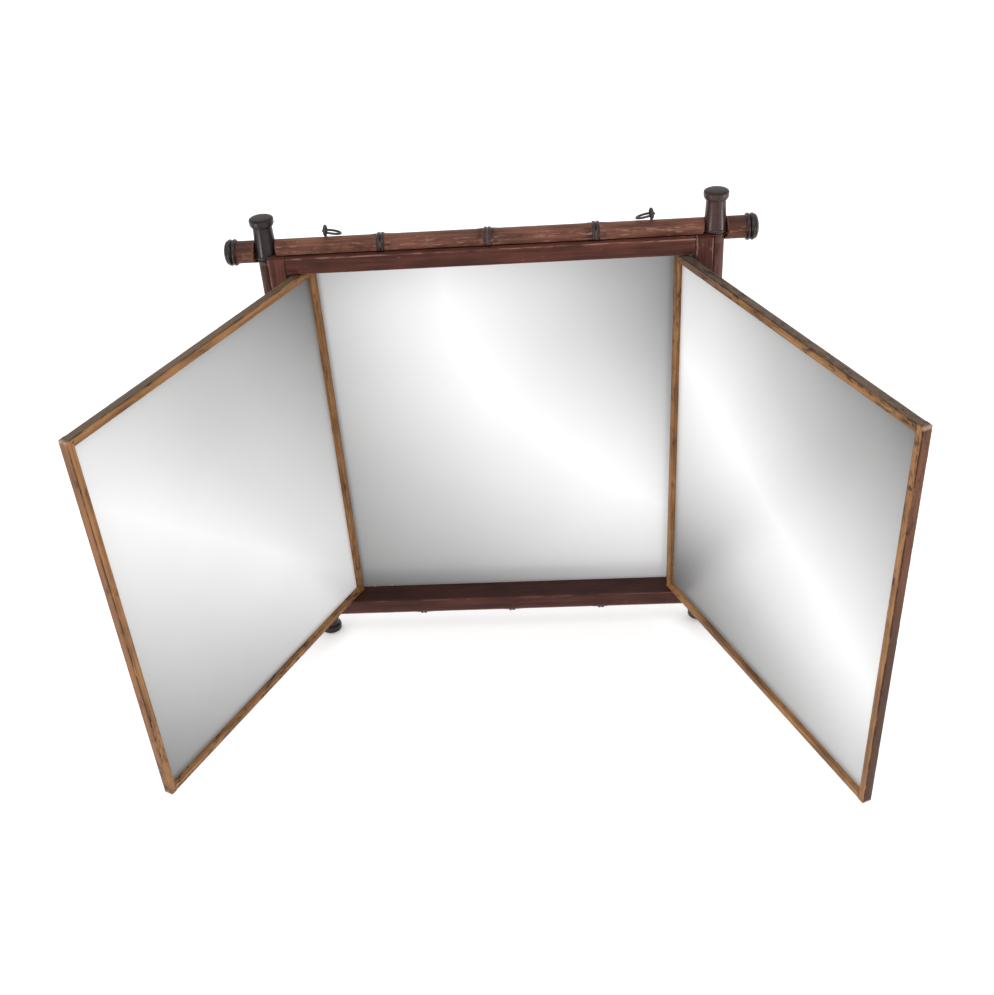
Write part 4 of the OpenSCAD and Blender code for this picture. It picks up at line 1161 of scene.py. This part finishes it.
repaint("back_board", back_finish("bare back board", 71.0))
for word, wing in WINGS.items():
    repaint(word + "_wing_back_panel", back_finish(f"bare {word} panel", 77.0 + wing["flip"], wing))
print("backs finished")

# %% [markdown]
# ## Nails, brads and tacks
# Small fixings repeat in rows, so they are one nail, made by a tree from its named sizes and set on
# many points. Every point carries the direction that its head faces.

# %% Nail tree
SHANK_SIDES, HEAD_SIDES, HEAD_TOP = 10, 14, 0.72  # the top is narrower than the foot of the head


def nail_tree():
    """Sets a small nail on each point, its head towards the point's heading."""
    nodes, given = group("nails", {
        "Shank radius": "Float", "Shank length": "Float", "Head radius": "Float", "Head height": "Float",
        "Finish": "Material"})
    shank = nodes.node("GeometryNodeMeshCylinder", None, {
        "Vertices": SHANK_SIDES, "Radius": given["Shank radius"],
        "Depth": given["Shank length"]}, output="Mesh")
    sunk = nodes.node("ShaderNodeCombineXYZ", None, {
        2: given["Shank length"] * -0.5 - given["Head height"]})
    shank = nodes.node("GeometryNodeTransform", None, {"Geometry": shank, "Translation": sunk})
    head = nodes.node("GeometryNodeMeshCone", None, {
        "Vertices": HEAD_SIDES, "Side Segments": 2, "Radius Top": given["Head radius"] * HEAD_TOP,
        "Radius Bottom": given["Head radius"], "Depth": given["Head height"]}, output="Mesh")
    down = nodes.node("ShaderNodeCombineXYZ", None, {2: given["Head height"] * -1.0})
    head = nodes.node("GeometryNodeTransform", None, {"Geometry": head, "Translation": down})
    one = nodes.node("GeometryNodeJoinGeometry", None, {0: [head, shank]})
    heading = nodes.node("GeometryNodeInputNamedAttribute", {"data_type": "FLOAT_VECTOR"},
                         {"Name": "heading"})
    turn = nodes.node("FunctionNodeAlignRotationToVector", {"axis": "Z"}, {"Vector": heading})
    row = nodes.node("GeometryNodeInstanceOnPoints", None, {
        "Points": given["Geometry"], "Instance": one, "Rotation": turn})
    return close_group(nodes, row, given["Finish"])


nail_maker = nail_tree()
print("nail inputs:", [s.name for s in nail_maker.interface.items_tree if s.in_out == "INPUT"])

# %% Metal finishes
PIT_SCALE = 160
METAL_RELIEF = 0.08 * MM


def metal_finish(name, clean, tarnish, shine, seed, metallic=1.0):
    """Old metal: clean in places, tarnished or rusted in others."""
    paint = Paint(name)
    cloud = paint.noise(PIT_SCALE, 4, 0.6, seed)
    fine = paint.noise(PIT_SCALE * 9, 3, 0.6, seed + 2)
    old = (cloud * 0.7 + fine * 0.3).ramp(0.42, 0.6)
    return paint.finish(paint.mix(old, clean, tarnish), shine + old * 0.3, fine - cloud * 0.5,
                        METAL_RELIEF, metal=metallic - old * 0.5)


dull_steel = metal_finish("dull steel", (0.30, 0.28, 0.25, 1), (0.07, 0.045, 0.032, 1), 0.35, 2.0)
dark_iron = metal_finish("dark iron wire", (0.055, 0.050, 0.047, 1), (0.028, 0.020, 0.016, 1), 0.38, 6.0, 0.8)
old_brass = metal_finish("old brass", (0.52, 0.36, 0.13, 1), (0.15, 0.10, 0.045, 1), 0.3, 8.0)
dark_brad = metal_finish("dark brad", (0.16, 0.13, 0.11, 1), (0.035, 0.024, 0.018, 1), 0.4, 4.0)
print("metals:", dull_steel.name, dark_iron.name, old_brass.name, dark_brad.name)

# %% Rows of nails
HEAD_T = 0.5 * MM
# Each fixing: shank radius, shank length and head radius.
NAIL = 1.0 * MM, 20.5 * MM, 1.5 * MM
POLE_BRAD = 0.8 * MM, 18.0 * MM, 1.4 * MM
BACK_TACK = 0.4 * MM, 9.5 * MM, 0.9 * MM
WING_BRAD = 0.4 * MM, 4.3 * MM, 0.9 * MM
WING_TACK = 0.4 * MM, 3.1 * MM, 0.9 * MM
NAIL_STEP, NAIL_Z = 9 * MM, 175.75 * MM
TACK_HALF_X, TACK_HALF_Z = 167 * MM, 176 * MM
BRAD_STEP, BRAD_EDGE, BRAD_DOWN = 21 * MM, 5.4 * MM, 2.8 * MM
PANEL_GAP = 0.3 * MM


def round_edge(half_w, half_h, count):
    """Evenly spaced places round a frame, as (x, z)."""
    places = []
    for side in (-1, 1):
        for i in range(count):
            part = ((i + 0.5) / count - 0.5) * 2
            places += [(part * half_w, side * half_h), (side * half_w, part * half_h)]
    return places


def nail_row(name, size, points, finish, body, matrix=Matrix.Identity(4)):
    """Fixings on (place, heading) points; the row stands for the CAD node of the same name."""
    mesh = bpy.data.meshes.new(name + " points")
    mesh.from_pydata([matrix @ Vector(place) for place, _ in points], [], [])
    heading = mesh.attributes.new("heading", "FLOAT_VECTOR", "POINT")
    for i, (_, toward) in enumerate(points):
        heading.data[i].vector = matrix.to_3x3() @ Vector(toward)
    shank_r, shank_len, head_r = size
    made = through_tree(name + "_set", nail_maker, mesh, {
        "Shank radius": shank_r, "Shank length": shank_len, "Head radius": head_r, "Head height": HEAD_T,
        "Finish": finish})
    dress(made, body, name)
    print(made.name, len(points), "nails")


nail_row("carcass_nails", NAIL,
         [((side * BOX_HALF.x, AXIS_Y + row * NAIL_STEP / 2, end * NAIL_Z), (side, 0, 0))
          for side in (-1, 1) for end in (-1, 1) for row in (-1, 1)], dull_steel, "box")
nail_row("pole_brads", POLE_BRAD,
         [((at * POLE_NODES, AXIS_Y, side * (POLE_Z + POLE_R + SWELL_H)), (0, 0, side))
          for side in (-1, 1) for at in (-1, 0, 1)]
         + [((side * (POST_X + POST_R + SWELL_H), AXIS_Y, at * POST_NODES + POSTS[word]["rise"]),
             (side, 0, 0)) for side, word in ((-1, "left"), (1, "right")) for at in (-1, 0, 1)],
         dark_brad, "box")
nail_row("back_board_tacks", BACK_TACK,
         [((x, 0, z), (0, 1, 0)) for x, z in round_edge(TACK_HALF_X, TACK_HALF_Z, 4)], dull_steel, "box")
for word, wing in WINGS.items():
    body, width, matrix = word + "_wing", wing["width"], wing_matrix(wing)
    ends = BRAD_EDGE, BRAD_EDGE + BRAD_STEP, width - BRAD_EDGE - BRAD_STEP, width - BRAD_EDGE
    nail_row(word + "_wing_frame_brads", WING_BRAD,
             [((x - PIN_EDGE, WING_T / 2, side * (WING_HALF - BRAD_DOWN)), (0, 1, 0))
              for side in (-1, 1) for x in ends], dark_brad, body, matrix)
    inset = MEMBER - (PANEL_REACH - PANEL_GAP + GLASS_REACH) / 2
    nail_row(word + "_wing_panel_tacks", WING_TACK,
             [((width / 2 - PIN_EDGE + x, -WING_T / 2, z), (0, -1, 0))
              for x, z in round_edge(width / 2 - inset, WING_HALF - inset, 3)], dull_steel, body, matrix)

# %% [markdown]
# ## Screw eyes and rings
# The hardware on the top pole is bent iron wire. A curve with a round bevel is the natural way to make
# wire: one open line for the screw eye, up the shank and once round, and one closed line for the ring,
# which hangs through the eye and lies on the pole.

# %% Wire pieces
def wire(name, points, radius, closed, finish):
    """A round wire along a line of points, as a plain mesh."""
    curve = bpy.data.curves.new(name + " line", "CURVE")
    curve.dimensions = "3D"
    curve.bevel_depth = radius
    curve.bevel_resolution = 5
    curve.use_fill_caps = True
    line = curve.splines.new("POLY")
    line.points.add(len(points) - 1)
    for spot, point in zip(line.points, points):
        spot.co = (*point, 1)
    line.use_cyclic_u = closed
    line.use_smooth = True
    return applied(link(curve), name, finish)


EYE_R, EYE_WIRE, RING_R, RING_WIRE = 3.6 * MM, 1.0 * MM, 7.0 * MM, 0.95 * MM
EYE_X, EYE_Z = 127 * MM, 198.7 * MM
RING_AT = 197.2 * MM
SHANK_LOW = POLE_Z + POLE_R - 20 * MM
RING_SLOPE = math.radians(18.3)
SHANK_STEPS, EYE_STEPS, RING_STEPS = 8, 44, 64
EYE_FROM, EYE_TO = 14, 358


def eye_line(side, turn):
    """Up the shank and round the eye, which stands along Y, turned a little about the vertical."""
    level = Vector((-math.sin(turn), math.cos(turn), 0))
    foot = Vector((side * EYE_X, AXIS_Y, 0))
    shank = [foot + Vector((0, 0, SHANK_LOW + (EYE_Z - EYE_R - SHANK_LOW) * i / SHANK_STEPS))
             for i in range(SHANK_STEPS + 1)]
    loop = [foot + level * EYE_R * math.sin(a) + Vector((0, 0, EYE_Z - EYE_R * math.cos(a)))
            for a in arc(EYE_STEPS, EYE_FROM, EYE_TO)]
    return shank + loop


def ring_line(side, heading):
    """A circle through the eye that slopes down to the far side of the pole."""
    turn = Matrix.Rotation(heading, 3, "Z") @ Matrix.Rotation(RING_SLOPE, 3, "Y")
    start = Vector((side * EYE_X, AXIS_Y, RING_AT))
    return [start + turn @ Vector((RING_R * (1 + math.cos(a)), RING_R * math.sin(a), 0))
            for a in arc(RING_STEPS, 0, 360)[:-1]]


for side, word, turn, heading in ((-1, "left", -6, 50), (1, "right", 14, 130)):
    eye = wire("wire_eye_" + word, eye_line(side, math.radians(turn)), EYE_WIRE, False, dark_iron)
    dress(eye, "box", "screw_eye_" + word)
    ring = wire("wire_ring_" + word, ring_line(side, math.radians(heading)), RING_WIRE, True, dark_iron)
    dress(ring, word + "_ring", "hanging_ring_" + word)
    low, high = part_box("hanging_ring_" + word)
    print(ring.name, "CAD size", [round(side / MM, 1) for side in Vector(high) - Vector(low)],
          "made size", [round(side / MM, 1) for side in ring.dimensions])

# %% Pins and washers
for word in WINGS:
    for end in ("top", "bottom"):
        repaint(f"{word}_pivot_pin_{end}", dull_steel)
    repaint(word + "_pivot_washer", old_brass)
print("pins and washers repainted")
